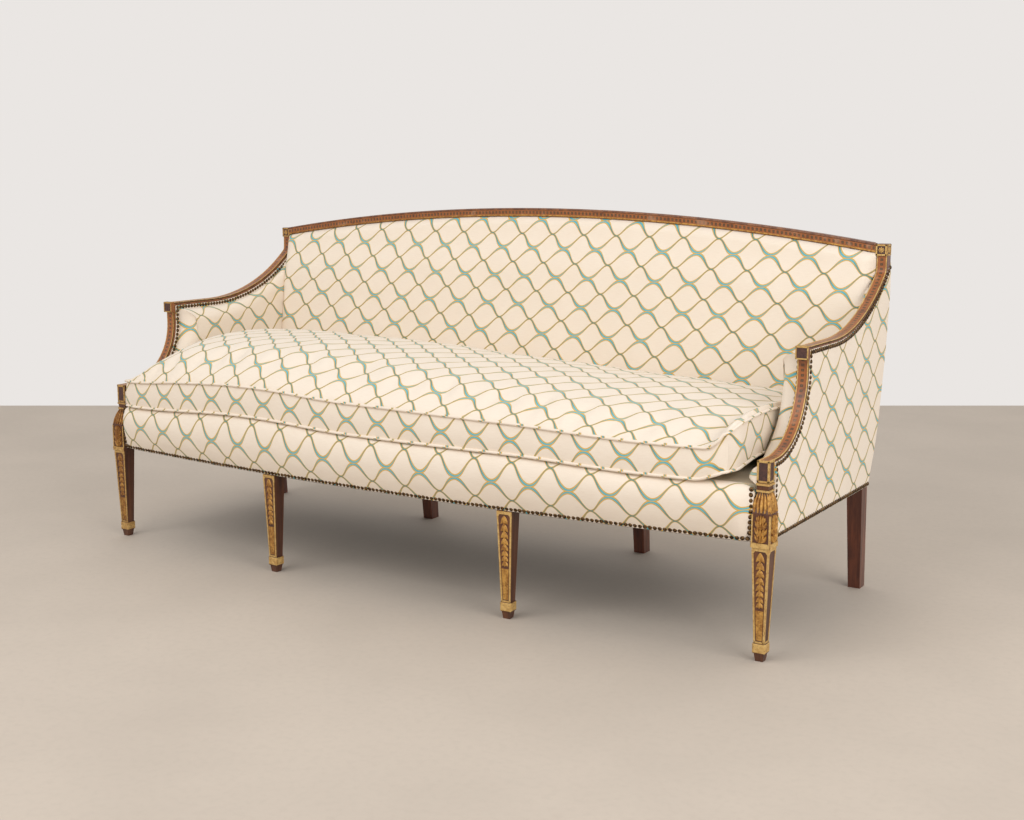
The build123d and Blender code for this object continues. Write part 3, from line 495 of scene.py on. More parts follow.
def painted_band():
    """Orange-brown paint with a row of dark leaf spots, rubbed in places."""
    shader = Shader("painted_band")
    uv = shader.uv()
    place = shader.place()
    u, v, _ = shader.split(uv)
    along = shader.folded(u / motif_pitch) * (motif_pitch * 1000)
    leaf = shader.math("MAXIMUM", abs(along) * 1.2, abs(v * 1000)) + shader.noise(place, 700.0, 2.0) * 2.2
    spot = shader.ramp(leaf, 4.2, 5.2, 1.0, 0.0)
    eye = shader.ramp(leaf, 1.9, 2.5, 1.0, 0.0)
    grain = shader.noise(shader.scaled(uv, (20.0, 500.0, 1.0)), 1.0, 5.0)
    clouds = shader.noise(place, 26.0, 5.0, 0.6)
    colour = shader.mix(grain, srgb(124, 68, 30), srgb(180, 108, 52))
    colour = shader.mix(shader.ramp(spot, 0.0, 1.0, 0.0, 0.85), colour, srgb(66, 50, 32))
    colour = shader.mix(shader.ramp(eye, 0.0, 1.0, 0.0, 0.5), colour, srgb(128, 104, 58))
    colour = shader.mix(shader.ramp(clouds, 0.55, 0.68, 0.0, 0.55), colour, srgb(176, 134, 104))
    colour = shader.mix(shader.ramp(clouds, 0.46, 0.32, 0.0, 0.6), colour, srgb(80, 44, 26))
    shader.bump(grain + spot * 0.8, 0.25, 0.0004)
    gloss = shader.ramp(clouds, 0.3, 0.7, 0.34, 0.55)
    return shader.finish(colour, gloss, {"Coat Weight": 0.2, "Coat Roughness": 0.3})


def gilding(name, bright, worn, deep, metal):
    """Old gold paint: bright on top, rubbed to the ground colour and dirty in places; it turns darker
    towards the left.
    """
    shader = Shader(name)
    place = shader.place()
    x, _, _ = shader.split(place)
    # Both masks get a ramp on x that rises towards the left (-x), so the gold turns darker on that side.
    rub = shader.noise(place, 90.0, 5.0, 0.65) + shader.ramp(x, -0.9, 0.1, 0.10, 0.0)
    dirt = shader.noise(place, 320.0, 4.0, 0.6) + shader.ramp(x, -0.9, 0.1, 0.06, 0.0)
    colour = shader.mix(shader.ramp(rub, 0.35, 0.68), bright, worn)
    colour = shader.mix(shader.ramp(dirt, 0.52, 0.74, 0.0, 0.8), colour, deep)
    shader.bump(rub + dirt, 0.3, 0.0004)
    return shader.finish(colour, shader.ramp(dirt, 0.3, 0.7, 0.36, 0.58), {"Metallic": metal})


cloth = trellis_cloth()
mahogany = grained_wood("dark_mahogany", srgb(122, 64, 40), srgb(70, 33, 22), 0.38, "z", 0.25)
beech = grained_wood("beech", srgb(205, 172, 128), srgb(176, 138, 96), 0.6, "x")
brass = aged_metal("antique_brass", srgb(120, 94, 64), srgb(46, 34, 26))
steel = aged_metal("spring_steel", srgb(150, 148, 145), srgb(84, 80, 76))
cambric = plain_cloth("black_cambric", srgb(44, 42, 42), srgb(24, 23, 24), 0.0012)
deck_cloth = plain_cloth("deck_cloth", srgb(226, 214, 192), srgb(196, 182, 158), 0.0012)
zip_cloth = plain_cloth("zip_cloth", srgb(222, 208, 186), srgb(196, 180, 156), 0.0008)
painted = grained_wood("painted_gilt_wood", srgb(150, 92, 44), srgb(84, 44, 24), 0.45, "z", 0.15)
leg_paint = grained_wood("leg_paint", srgb(112, 66, 38), srgb(64, 34, 22), 0.45, "z", 0.15)
band_paint = painted_band()
gold_leaf = gilding("gold_leaf", srgb(206, 156, 78), srgb(150, 100, 46), srgb(78, 46, 24), 0.35)
pale_gold = gilding("pale_gold", srgb(216, 180, 112), srgb(188, 146, 82), srgb(112, 74, 40), 0.15)
dark_panel = gilding("dark_panel", srgb(66, 44, 42), srgb(86, 54, 46), srgb(40, 26, 26), 0.0)

hard_finish = {
    "painted_gilt_wood": painted, "dark_mahogany": mahogany, "beech": beech,
    "antique_brass": brass, "spring_steel": steel,
}
slot_of = {entry["node"]: entry["material_slot"] for entry in frame["record"]["subparts"]}
for node, obj in frame["nodes"].items():
    front_leg = node.startswith("front_") and "leg" in node
    obj.data.materials.clear()
    obj.data.materials.append(leg_paint if front_leg else hard_finish.get(slot_of[node], beech))


# Front border and inside back
cushion_half = 0.8845


def front_lift(a):
    """Rise of the seat's front edge at share a across the cushion, where the stuffing is fuller."""
    rise = 0.0204 * smooth(a / 0.26) * (1 - 0.5 * smooth((a - 0.28) / 0.18))
    return rise * (1 - smooth((a - 0.70) / 0.20))


def front_border():
    """Padded band round the bowed front, drawn in towards the corner legs."""
    section = curve_through([
        (0.0035, 0.2565), (0.0045, 0.262), (0.010, 0.272), (0.0205, 0.298), (0.0265, 0.330),
        (0.0235, 0.353), (0.012, 0.3705), (-0.004, 0.3755), (-0.020, 0.374),
    ], 26)
    behind = curve_through([(0.0005, 0.2565), (0.0005, 0.300), (0.0005, 0.347), (-0.019, 0.350)], 26)
    (n, z), (n_behind, z_behind) = section.T[:, :, None], behind.T[:, :, None]
    x = np.linspace(-post_inside + 0.0005, post_inside - 0.0005, 201)
    near = post_inside - abs(x)
    full = 0.18 + 0.82 * rounded((near - 0.009) / 0.036)
    puff = 0.0016 * ripple(x, 0, z, 0.11, 3.0) * smooth((z - 0.27) / 0.03)
    tuck = 0.0006 * np.cos(2 * pi * x / nail_pitch) * (1 - smooth((z - 0.262) / 0.012))
    out = np.where(n < 0, n, n * full) + puff + tuck
    top_drop = (1 - rounded(near / 0.05)) * 0.020 * smooth((z - 0.33) / 0.04)
    height = z - top_drop + front_lift((x / cushion_half + 1) / 2) * smooth((z - 0.325) / 0.05)
    back = (x, bow_y(x, -n_behind), np.minimum(z_behind, height - 0.001))
    uv = on_cloth(x, arc_lengths(section)[:, None], (-0.0533, 0.072), 0.0968)
    piece = closed_sheet("front_border_cloth", (x, bow_y(x, -out), height), back, uv, cloth)
    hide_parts("front_border")


def inside_back():
    """One crowned panel between the crest's nails, the posts and the seat."""
    half = show_inside - 0.001
    shares = np.linspace(-1, 1, 189)
    x = half * (1.22 * shares - 0.22 * shares**3 * abs(shares))
    top = crest_z(np.minimum(abs(x), show_inside), crest_lip_depth)
    z = pad_base + (top - pad_base) * np.linspace(0, 1, 61)[:, None] ** 0.92
    flat = front_line(z)
    edge_top = rounded((top - z - 0.004) / 0.020) * (0.55 + 0.45 * smooth((top - z) / 0.14))
    edge_side = 0.12 + 0.88 * rounded((half - abs(x) - 0.003) / 0.030)
    edge_base = 0.6 + 0.4 * rounded((z - pad_base) / 0.05)
    puff = 0.003 * ripple(x, 0, z, 0.16, 7.0) + 0.0012 * ripple(x, 0, z, 0.05, 1.0)
    out = 0.003 + (flat - pad_line(z) - 0.003 + puff) * edge_top * edge_side * edge_base
    lean = (0.216 - 0.11 * x) * (z - 0.570)
    uv = on_cloth(x - lean, z, (-0.170, 0.570), 0.1015, 0.0772)
    piece = closed_sheet(
        "inside_back_cloth", (x, flat - out, z), (x, flat - 0.0004, z), uv, cloth)
    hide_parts("inside_back_pad", "back_hessian", "back_webbing")


# Arms
def support_arc(radius, count):
    """(y, z) points of the arm support's quarter circle."""
    angles = np.linspace(-pi / 2, 0, count)
    y = support_centre_y + radius * np.cos(angles)
    z = support_centre_z + radius * np.sin(angles)
    return np.stack([y, z], 1)


def arm_path(inset, rear, start_y, count):
    """(y, z) points along the arm, the inset below its top, and up its sweep to the back."""
    radius = arm_bend_radius + inset
    points = [(start_y, arm_top - inset), (arm_bend_start, arm_top - inset)]
    for angle in np.linspace(0, radians(75), 300)[1:]:
        y = arm_bend_start + radius * sin(angle)
        z = arm_bend_centre_z - radius * cos(angle)
        if y > rear(z):
            break
        points.append((y, z))
    return resample(points, count)


def nailed_edge(inset, rear, front_cols, top_cols, front_at):
    """The edge under the show-wood from the front leg to the back, as (y, z) points."""
    radius = support_radius + inset
    reach = support_centre_y + radius
    foot = (front_at, support_centre_z - radius)
    front = np.vstack([foot, support_arc(radius, 40), (reach, arm_top - inset)])
    return np.vstack([resample(front, front_cols), arm_path(inset, rear, reach, top_cols)[1:]])


def inside_arm(side, sign):
    """Padded inside of an arm: a soft roll under the show-wood, then a flat face down to the seat."""
    roll_rows, face_rows = 14, 26
    roll, flange, roll_spread = 0.046, 0.012, 0.030
    edge = nailed_edge(0.008, front_line, 60, 70, -0.004)
    cols = len(edge)
    normal = path_normals(edge)
    even = np.ones(17) / 17
    normal = np.stack([np.convolve(np.pad(part, 8, "edge"), even, "valid") for part in normal.T], 1)
    normal /= np.linalg.norm(normal, axis=1)[:, None]
    inner = edge - normal * roll
    inner[:, 0] = np.minimum(inner[:, 0], pad_line(inner[:, 1]) + 0.014)
    inner[:, 1] = np.maximum(inner[:, 1], pad_base + 0.010)
    rear_foot = pad_line(pad_base) + 0.012
    foot_y = np.interp(np.linspace(0, 1, cols), [0, 0.35, 1], [-0.004, 0.20, rear_foot])
    foot = np.stack([foot_y, np.full(cols, pad_base)], 1)

    row = np.arange(roll_rows)[:, None, None]
    turn = np.maximum(0.0, (row - 2) / (roll_rows - 3))
    share = flange / roll
    along = share * np.minimum(1.0, row / 2) + (1 - share) * (1 - np.cos(turn * pi / 2))
    rolled = edge + (inner - edge) * along
    down = (np.arange(face_rows)[:, None, None] + 1) / face_rows
    face = inner + (foot - inner) * down
    under = 1 - 0.7 * down[..., 0] ** 2 * (1 - smooth(face[..., 0] / 0.08))
    fill = np.vstack([np.broadcast_to(np.sin(turn[..., 0] * pi / 2), (roll_rows, cols)), under])
    y, z = np.moveaxis(np.vstack([rolled, face]), 2, 0)
    spread = np.moveaxis(np.vstack([rolled + normal * (1 - turn) * roll_spread, face]), 2, 0)

    thinner = 1 - 0.62 * smooth((y - 0.23) / 0.34)
    nose = rounded((y + 0.007) / 0.030) * (0.58 + 0.42 * smooth((y - 0.02) / 0.12))
    soft = np.minimum(1.0, np.arange(len(y))[:, None] / roll_rows)
    puff = 0.0022 * ripple(sign * 3, y, z, 0.09, 5.0) * soft
    x = sign * (show_inside - 0.003 - (arm_pad_thickness - 0.003) * thinner * nose * fill - puff)
    piece = closed_sheet(
        "inside_arm_cloth_" + side, (x, y, z), (sign * (show_inside - 0.0005), y, z),
        on_cloth(*spread, (0.31, 0.487), 0.105), cloth, flip=sign > 0)
    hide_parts("inside_arm_pad_" + side)


def outside_arm(side, sign):
    """Cloth stretched over the outside of an arm."""
    def rear(z):
        return rear_line(z) + back_cover_thickness

    rows = 40
    front_at = post_rear + 0.001
    edge_y, edge_z = nailed_edge(arm_show_depth, rear, 50, 60, front_at).T
    shares = np.linspace(0, 1, len(edge_y))
    foot_y = np.interp(shares, [0, 0.42, 1], [front_at, 0.26, rear(rail_underside)])
    t = np.linspace(0, 1, rows)[:, None]
    z = edge_z + (rail_underside - edge_z) * t
    rise = (z - rail_underside) / (edge_z[-1] - rail_underside)
    bow = rear(z) - foot_y[-1] - (edge_y[-1] - foot_y[-1]) * rise
    y = np.minimum(edge_y + (foot_y - edge_y) * t + bow * smooth((shares - 0.5) / 0.5), rear(z))
    rim = np.minimum(1.0, np.minimum(t, 1 - t) * rows / 5)
    puff = 0.0015 * rim * (1 + ripple(sign, y, z, 0.12, 2.0))
    piece = closed_sheet(
        "outside_arm_cloth_" + side, (sign * (cover_face + puff), y, z), (sign * (side_face + 0.0002), y, z),
        on_cloth(y, z, (0.3456, 0.487), 0.112), cloth, flip=sign < 0)
    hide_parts("outside_arm_cover_" + side)


def outside_back():
    """Cloth stretched over the back of the sofa."""
    half = side_face - 0.0005
    x = np.linspace(-half, half, 140)
    top = crest_z(np.minimum(abs(x), half_span), crest_lip_depth)
    top = np.where(abs(x) > rear_post_inside + 0.004, np.minimum(top, post_top - 0.034), top)
    z = rail_underside + (top - rail_underside) * np.linspace(0, 1, 44)[:, None]
    rim = rounded(np.minimum(np.minimum(z - rail_underside, top - z), half - abs(x)) / 0.05)
    puff = 0.002 * rim * (1 + ripple(x, 4, z, 0.2, 6.0))
    y = rear_line(z)
    piece = closed_sheet(
        "outside_back_cloth", (x, y + back_cover_thickness - 0.001 + puff, z), (x, y + 0.0003, z),
        on_cloth(x, z, (0.0, 0.578), 0.101), cloth, flip=True)
    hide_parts("outside_back_cover")


# Seat deck under the cushion, and the black cloth under the frame
def seat_deck():
    """Plain cloth over the seat's stuffing."""
    x = np.linspace(-show_inside, show_inside, 120)
    rear = front_line(rail_top) - 0.002
    start = bow_y(np.minimum(abs(x), post_inside), 0.020)
    start = np.where(abs(x) > post_inside - 0.004, post_rear + 0.002, start)
    y = start + (rear - start) * np.linspace(0, 1, 40)[:, None]
    z = deck_height - 0.0005 - 0.002 * (0.5 + 0.5 * ripple(x, y, 9, 0.2, 4.0))
    piece = closed_sheet(
        "seat_deck_cloth_top", (x, y, z), (x, y, rail_top + 0.0005), on_cloth(x, y, (0, 0)),
        deck_cloth)
    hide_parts("seat_deck_cloth", "seat_stuffing", "seat_hessian")


def dust_cover():
    """Black cloth tacked under the seat frame, sagging a little between the rails."""
    half = side_face - 0.002
    rear = rear_rail_face - 0.002
    x = np.linspace(-half, half, 120)
    start = bow_y(np.minimum(abs(x), post_inside), 0.001)
    y = start + (rear - start) * np.linspace(0, 1, 40)[:, None]
    near = np.minimum(half - abs(x), np.minimum(y - start, rear - y))
    sag = 0.007 * smooth((near - 0.03) / 0.2) + 0.0008 * ripple(x, y, 1, 0.07, 8.0)
    z = rail_underside - 0.0014 - np.maximum(0.0, sag)
    piece = closed_sheet(
        "dust_cover_cloth", (x, y, z), (x, y, z + 0.0011), on_cloth(x, y, (0, 0)),
        cambric, flip=True)
    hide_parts("dust_cover")


# Loose cushion: boxed, crowned, fuller towards the left. Shares a run across it, b from front to rear.
cushion_rear = float(pad_line(deck_height)) - 0.007
cushion_base_z = deck_height + 0.0006
cushion_pressure = 4.0
cushion_slack = 0.02
cushion_steps = 16
cushion_cap = 0.008
welt_radius = 0.0034
welt_sides = 8


def cushion_shape(a, b):
    """(x, y) of the cushion's outline: sides pulled in, corners drawn in or out."""
    x = cushion_half * (2 * a - 1)
    start = bow_y(x) - 0.014
    y = start + (cushion_rear - start) * b + 0.004 * np.sin(pi * a) * (1 - 2 * b)
    x = x - 0.006 * np.sin(pi * b) * (2 * a - 1)
    drawn = np.where(b > 0.5, 0.006, np.where(a > 0.5, 0.012, -0.012))
    corner = smooth((abs(2 * a - 1) - 0.97) / 0.03) * smooth((abs(2 * b - 1) - 0.86) / 0.14)
    return x - drawn * corner * np.sign(2 * a - 1), y - 0.004 * corner * np.sign(2 * b - 1)


def shoulder_z(a, b):
    """Height of the top seam; the right end is pushed up beside the arm."""
    front = 0.4465 + 1.05 * front_lift(a) + 0.007 * smooth(a / 0.12) * (1 - smooth((a - 0.45) / 0.35))
    right_end = 0.034 + 0.014 * smooth(b / 0.08) - 0.048 * smooth((b - 0.15) / 0.85)
    return front + (0.462 - front) * smooth(b / 0.5) + right_end * smooth((a - 0.97) / 0.03)


def underside_z(a, b):
    """Height of the underside: flat on the deck, lifted by the front edge and at the right end."""
    right_end = 0.020 + 0.012 * smooth(b / 0.25) - 0.030 * smooth((b - 0.25) / 0.75)
    lift = front_lift(a) * (1 - smooth((b - 0.06) / 0.14)) + right_end * smooth((a - 0.955) / 0.045)
    return cushion_base_z + lift


def crown_z(a, b):
    """Rise of the top above its seam."""
    full = np.interp(a, [0, 0.12, 0.3, 0.5, 0.7, 0.9, 1], [0.086, 0.100, 0.101, 0.084, 0.063, 0.041, 0.030])
    return full * rounded(np.minimum(b, 1 - b) / 0.46) ** 1.1 * rounded(np.minimum(a, 1 - a) / 0.09)


def settled(grid):
    """The cushion's top after a short cloth simulation: a little slack cloth, seams pinned, moves capped."""
    rows, cols = grid.shape[:2]
    mesh = bpy.data.meshes.new("top_cloth")
    mesh.from_pydata([tuple(p) for p in grid.reshape(-1, 3)], [], grid_faces(rows, cols))
    sheet = bpy.data.objects.new("top_cloth", mesh)
    scene = bpy.context.scene
    scene.collection.objects.link(sheet)
    pinned = sheet.vertex_groups.new(name="seam")
    pinned.add(rim_of(rows, cols), 1.0, "ADD")
    simulation = sheet.modifiers.new("settle", "CLOTH")
    settings = simulation.settings
    settings.vertex_group_mass = "seam"
    settings.effector_weights.gravity = 0.0
    settings.use_pressure = True
    settings.uniform_pressure_force = cushion_pressure
    settings.shrink_min = -cushion_slack
    settings.bending_stiffness = 4.0
    simulation.collision_settings.use_collision = False
    for step in range(1, cushion_steps + 1):
        scene.frame_set(step)
    result = sheet.evaluated_get(bpy.context.evaluated_depsgraph_get()).data
    points = np.zeros(rows * cols * 3)
    result.vertices.foreach_get("co", points)
    scene.frame_set(1)
    bpy.data.objects.remove(sheet)
    bpy.data.meshes.remove(mesh)
    moves = points.reshape(rows, cols, 3) - grid
    length = np.linalg.norm(moves, axis=2, keepdims=True)
    return grid + moves * np.minimum(1.0, cushion_cap / np.maximum(length, 1e-9))


def cushion():
    """Top, boxing and underside as one closed piece; gives the points of its two seams."""
    rows, cols, layers = 57, 161, 9
    a = np.linspace(0, 1, cols)
    b = np.linspace(0, 1, rows)[:, None]
    x, y = cushion_shape(a, b)
    dent = 0.004 * ripple(x, y, 0, 0.17, 11.0) + 0.0015 * ripple(x, y, 0, 0.06, 12.0)
    dent *= rounded(np.minimum(a, 1 - a) / 0.05) * rounded(np.minimum(b, 1 - b) / 0.12)
    top = np.stack([x, y, shoulder_z(a, b) + crown_z(a, b) + dent], 2)
    along = np.stack([arc_lengths(top[:, i, 1:]) for i in range(cols)], 1)
    top_uv = np.stack(on_cloth(x, along, (-0.1444, -0.012), 0.0932), 2).reshape(-1, 2)
    top = settled(top)
    flat_top = top.reshape(-1, 3)
    flat_bottom = np.stack([x, y, underside_z(a, b)], 2).reshape(-1, 3)
    rim = rim_of(rows, cols)
    count = len(rim)
    high, low = flat_top[rim], flat_bottom[rim]
    boxing = []
    for k in range(1, layers):
        t = k / layers
        p = high + (low - high) * t
        at_end = abs(p[:, 0]) > cushion_half - 0.02
        away = np.zeros_like(p)
        away[:, 0] = np.where(at_end, np.sign(p[:, 0]), 0.0)
        away[:, 1] = np.where(at_end, 0.0, np.where(p[:, 1] < high[:, 1].mean(), -1.0, 1.0))
        bulge = 0.005 * sin(pi * t) * (1 + 0.5 * ripple(*p.T, 0.12, 13.0))
        boxing.append(p + away * bulge[:, None])
    vertices = np.vstack([flat_top, *boxing, flat_bottom])
    base_start = len(vertices) - len(flat_bottom)
    rings = [rim]
    rings += [range(len(flat_top) + k * count, len(flat_top) + (k + 1) * count) for k in range(layers - 1)]
    rings.append([base_start + v for v in rim])
    around = arc_lengths(high[list(range(count)) + [0], :2])
    middle = (high[:, 2] + low[:, 2]) / 2
    faces = grid_faces(rows, cols)
    uvs = [top_uv[v] for face in faces for v in face]
    for k in range(layers):
        for m in range(count):
            quad = []
            for ring, place in ((k, m + 1), (k, m), (k + 1, m), (k + 1, m + 1)):
                turn = place % count
                quad.append(rings[ring][turn])
                at = around[place] - cushion_half
                at += 0.022 * max(0.0, -0.35 - at)
                z = vertices[quad[-1], 2]
                uvs.append(on_cloth(at, z, (-0.0671, middle[turn]), 0.0916))
            faces.append(tuple(quad))
    bottom_faces = grid_faces(rows, cols, base_start, flip=True)
    uvs += [on_cloth(*vertices[v, :2], (0, 0)) for face in bottom_faces for v in face]
    faces += bottom_faces
    piece = make_piece("cushion_cloth", vertices, faces, uvs, cloth, "seat_cushion")
    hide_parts("cushion_cover", "cushion_fill")
    return high, low


def welt(name, path, node):
    """Round fabric welt along a closed seam."""
    count = len(path)
    ahead = np.roll(path, -1, axis=0) - np.roll(path, 1, axis=0)
    ahead /= np.linalg.norm(ahead, axis=1)[:, None]
    outward = np.cross(ahead, np.array([0.0, 0.0, 1.0]))
    outward /= np.linalg.norm(outward, axis=1)[:, None]
    upward = np.cross(outward, ahead)
    along = arc_lengths(np.vstack([path, path[:1]]))
    turns = 2 * pi * np.arange(welt_sides)[:, None] / welt_sides
    round_points = outward[:, None] * (0.003 + welt_radius * np.cos(turns))
    round_points += path[:, None] + upward[:, None] * (welt_radius * np.sin(turns))
    faces, uvs = [], []
    for m in range(count):
        for s in range(welt_sides):
            corners = ((m, s), (m + 1, s), (m + 1, s + 1), (m, s + 1))
            faces.append(tuple(place % count * welt_sides + turn % welt_sides for place, turn in corners))
            uvs += [(along[place] / 0.0985 + turn * 0.01, -0.264 + turn * 0.004) for place, turn in corners]
    piece = make_piece(
        name, round_points.reshape(-1, 3), faces, uvs, cloth, "seat_cushion", 80.0)
    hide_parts(node)


front_border()
inside_back()
for side, sign in sides:
    inside_arm(side, sign)
    outside_arm(side, sign)
outside_back()
seat_deck()
dust_cover()
top_seam, bottom_seam = cushion()
welt("cushion_welt_top", top_seam, "cushion_top_welt")
welt("cushion_welt_bottom", bottom_seam + np.array([0, 0, 0.0045]), "cushion_bottom_welt")


# Carving, gilding and nail heads in low relief. Dome profiles are shares of the radius and the height.
bead_profile = ((1.0, -0.1), (0.86, 0.5), (0.5, 0.88))
nail_profile = ((1.0, 0.0), (0.99, 0.16), (0.84, 0.58), (0.50, 0.90))


class Relief:
    """Small raised forms laid on flat faces, gathered into one mesh."""

    def __init__(self):
        self.vertices = []
        self.faces = []

    def on(self, origin, right, up=upwards):
        """Chooses the face: a point on it and its right and up directions."""
        self.origin = Vector(origin)
        self.right = Vector(right).normalized()
        self.up = Vector(up).normalized()
        self.out = self.right.cross(self.up)

    def point(self, a, b, height):
        self.vertices.append(self.origin + self.right * a + self.up * b + self.out * height)
        return len(self.vertices) - 1

    def bar(self, corners, height, sink=0.0008, slope=0.0005):
        """Flat bar with sloped edges on a four-cornered outline."""
        low = [self.point(a, b, -sink) for a, b in corners]
        high = []
        for corner in np.asarray(corners, float):
            towards = np.mean(corners, axis=0) - corner
            high.append(self.point(*(corner + towards / (np.linalg.norm(towards) + 1e-9) * slope), height))
        self.faces += [tuple(low[::-1]), tuple(high)] + ring_faces(low, high)

    def leaf(self, base, tip, width, height, curl=0.0):
        """Pointed leaf with a ridge, from its base to its tip."""
        base, tip = np.asarray(base, float), np.asarray(tip, float)
        along = tip - base
        across = np.array([along[1], -along[0]]) / (np.linalg.norm(along) + 1e-9)
        rows = []
        for t in np.linspace(0, 1, 6):
            half = width / 2 * sin(pi * min(1.0, 0.12 + 0.88 * t)) ** 0.8
            centre = base + along * t + across * curl * sin(pi * t)
            rise = height * (0.45 + 0.55 * sin(pi * (0.15 + 0.7 * t)))
            section = ((-1, -0.0006), (-0.55, rise * 0.8), (0, rise), (0.55, rise * 0.8), (1, -0.0006))
            rows.append([self.point(*(centre + across * half * share), up) for share, up in section])
        for low, high in zip(rows, rows[1:]):
            self.faces += ring_faces(low, high)
        self.faces += [tuple(reversed(rows[0])), tuple(rows[-1])]

    def dome(self, a, b, radius, height, around=10, profile=bead_profile):
        """Round dome with a flat base."""
        rings = []
        turns = 2 * pi * np.arange(around) / around
        for share, rise in profile:
            reach = radius * share
            rings.append([self.point(a + reach * cos(t), b + reach * sin(t), height * rise) for t in turns])
        top = self.point(a, b, height)
        self.faces.append(tuple(reversed(rings[0])))
        for low, high in zip(rings, rings[1:]):
            self.faces += ring_faces(low, high)
        self.faces += [(k, n, top) for k, n, _, _ in ring_faces(rings[-1], rings[-1])]

    def piece(self, name, material, slot="painted_gilt_wood", body="frame"):
        return turned_out(make_piece(name, self.vertices, self.faces, None, material, body, 40.0))


def rectangle(a, b, width, height):
    """Corners of an upright rectangle from its lower left corner."""
    return [(a, b), (a + width, b), (a + width, b + height), (a, b + height)]


def framed(gilt, panel, middle, right, up, width, height, edge, proud=0.0010):
    """Flat rectangle with a gilt edge and a painted panel."""
    gilt.on(middle, right, up)
    panel.on(middle, right, up)
    a, b = width / 2, height / 2
    for way in (-1, 1):
        gilt.bar([(way * a, -b), (way * (a - edge), -b), (way * (a - edge), b), (way * a, b)], proud)
        gilt.bar([(-a, way * b), (a, way * b), (a, way * (b - edge)), (-a, way * (b - edge))], proud)
    panel.bar(rectangle(-a + edge, -b + edge, width - 2 * edge, height - 2 * edge), 0.0004)


# Nail heads: a low dome on each nail of the CAD rows, plus rows beside the front and rear posts
nail_radius = 0.0052
nail_height = 0.0036
post_nail_rise = (0.2745, 0.366)
post_nail_count = 9
back_nail_low = 0.700
back_nail_pitch = 0.0115


def nail_places(node):
    """Head centre and outward direction of each nail in a CAD node, in the frame."""
    mesh = frame["nodes"][node].data
    points = np.zeros(len(mesh.vertices) * 3)
    mesh.vertices.foreach_get("co", points)
    welded, index = np.unique(np.round(points.reshape(-1, 3), 6), axis=0, return_inverse=True)
    edges = np.zeros(len(mesh.edges) * 2, int)
    mesh.edges.foreach_get("vertices", edges)
    edges = index.ravel()[edges.reshape(-1, 2)]
    label = np.arange(len(welded))
    while True:
        low = label[edges].min(axis=1)
        spread = label.copy()
        for end in edges.T:
            np.minimum.at(spread, end, low)
        spread = spread[spread]
        if (spread == label).all():
            break
        label = spread
    order = np.argsort(label, kind="stable")
    places = []
    for group in np.split(order, np.nonzero(np.diff(label[order]))[0] + 1):
        nail = welded[group]
        middle = (nail.min(axis=0) + nail.max(axis=0)) / 2
        spreads, axes = np.linalg.eigh(np.cov((nail - nail.mean(axis=0)).T))
        axis = axes[:, 2] if spreads[1] - spreads[0] < spreads[2] - spreads[1] else axes[:, 0]
        along = (nail - middle) @ axis
        away = np.linalg.norm(nail - middle - np.outer(along, axis), axis=1)
        head = nail[away > 0.95 * away.max()].mean(axis=0)
        at = (head - middle) @ axis
        places.append((head, -axis if along.max() - at > at - along.min() else axis))
    return places


def nail_heads(name, places, node=None, share=1.0):
    """One piece of many domed heads, each a little different."""
    heads = Relief()
    for count, (head, axis) in enumerate(places):
        seed = 0.37 * count
        spots = ((seed, 0, 0), (0, seed, 0), (0, 0, seed))
        lean = Vector([noise.noise(spot) for spot in spots]) * 0.12
        out = (Vector(axis) + lean).normalized()
        side = out.orthogonal()
        size = share * (1 + 0.06 * noise.noise((seed, 3.1, 0)))
        heads.on(Vector(head) - Vector((0, front_y, 0)), side, out.cross(side))
        heads.dome(0, 0, nail_radius * size, nail_height * size, profile=nail_profile)
    piece = make_piece(name, heads.vertices, heads.faces, None, brass)
    if node:
        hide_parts(node)


for node in (
    "front_border_nails", "crest_nails", "outside_back_nails", "outside_arm_nails_left",
    "outside_arm_nails_right", "inside_arm_nails_left", "inside_arm_nails_right",
):
    share = 0.8 if node == "crest_nails" else 1.0
    nail_heads(node.replace("nails", "nail_heads"), nail_places(node), node, share)

post_nails = []
for side, sign in sides:
    x = sign * (post_inside - 0.0055)
    for z in np.linspace(*post_nail_rise, post_nail_count):
        proud = 0.0046 - 0.2 * max(0.0, z - 0.35)
        post_nails.append(((x, bow_y(x, -proud) + front_y, z), (0, -1, 0.05)))
    x = sign * (show_inside - 0.007)
    for z in np.arange(back_nail_low, post_top - rosette_size, back_nail_pitch):
        post_nails.append(((x, front_line(z) - 0.0045 + front_y, z), (0, -1, 0.1)))
nail_heads("post_nail_heads", post_nails)


# Show-wood: moulded bands laid on the arms, the posts and the crest
def band(name, rows, across, parts, along, paints):
    """Swept moulding. rows[i][k] is profile point k at station i; parts[k] is the paint of strip k."""
    rows = np.asarray(rows, float)
    stations, points = rows.shape[:2]
    rings = [range(i * points, (i + 1) * points) for i in range(stations)]
    faces = [face for low, high in zip(rings, rings[1:]) for face in ring_faces(low, high)]
    faces += [tuple(reversed(rings[0])), tuple(rings[-1])]
    uvs = [(along[v // points], across[v % points]) for face in faces for v in face]
    piece = make_piece(name, rows.reshape(-1, 3), faces, uvs, paints[0], sharp=35.0)
    for paint in paints[1:]:
        piece.data.materials.append(paint)
    piece.data.polygons.foreach_set("material_index", parts * (stations - 1) + [0, 0])
    turned_out(piece)


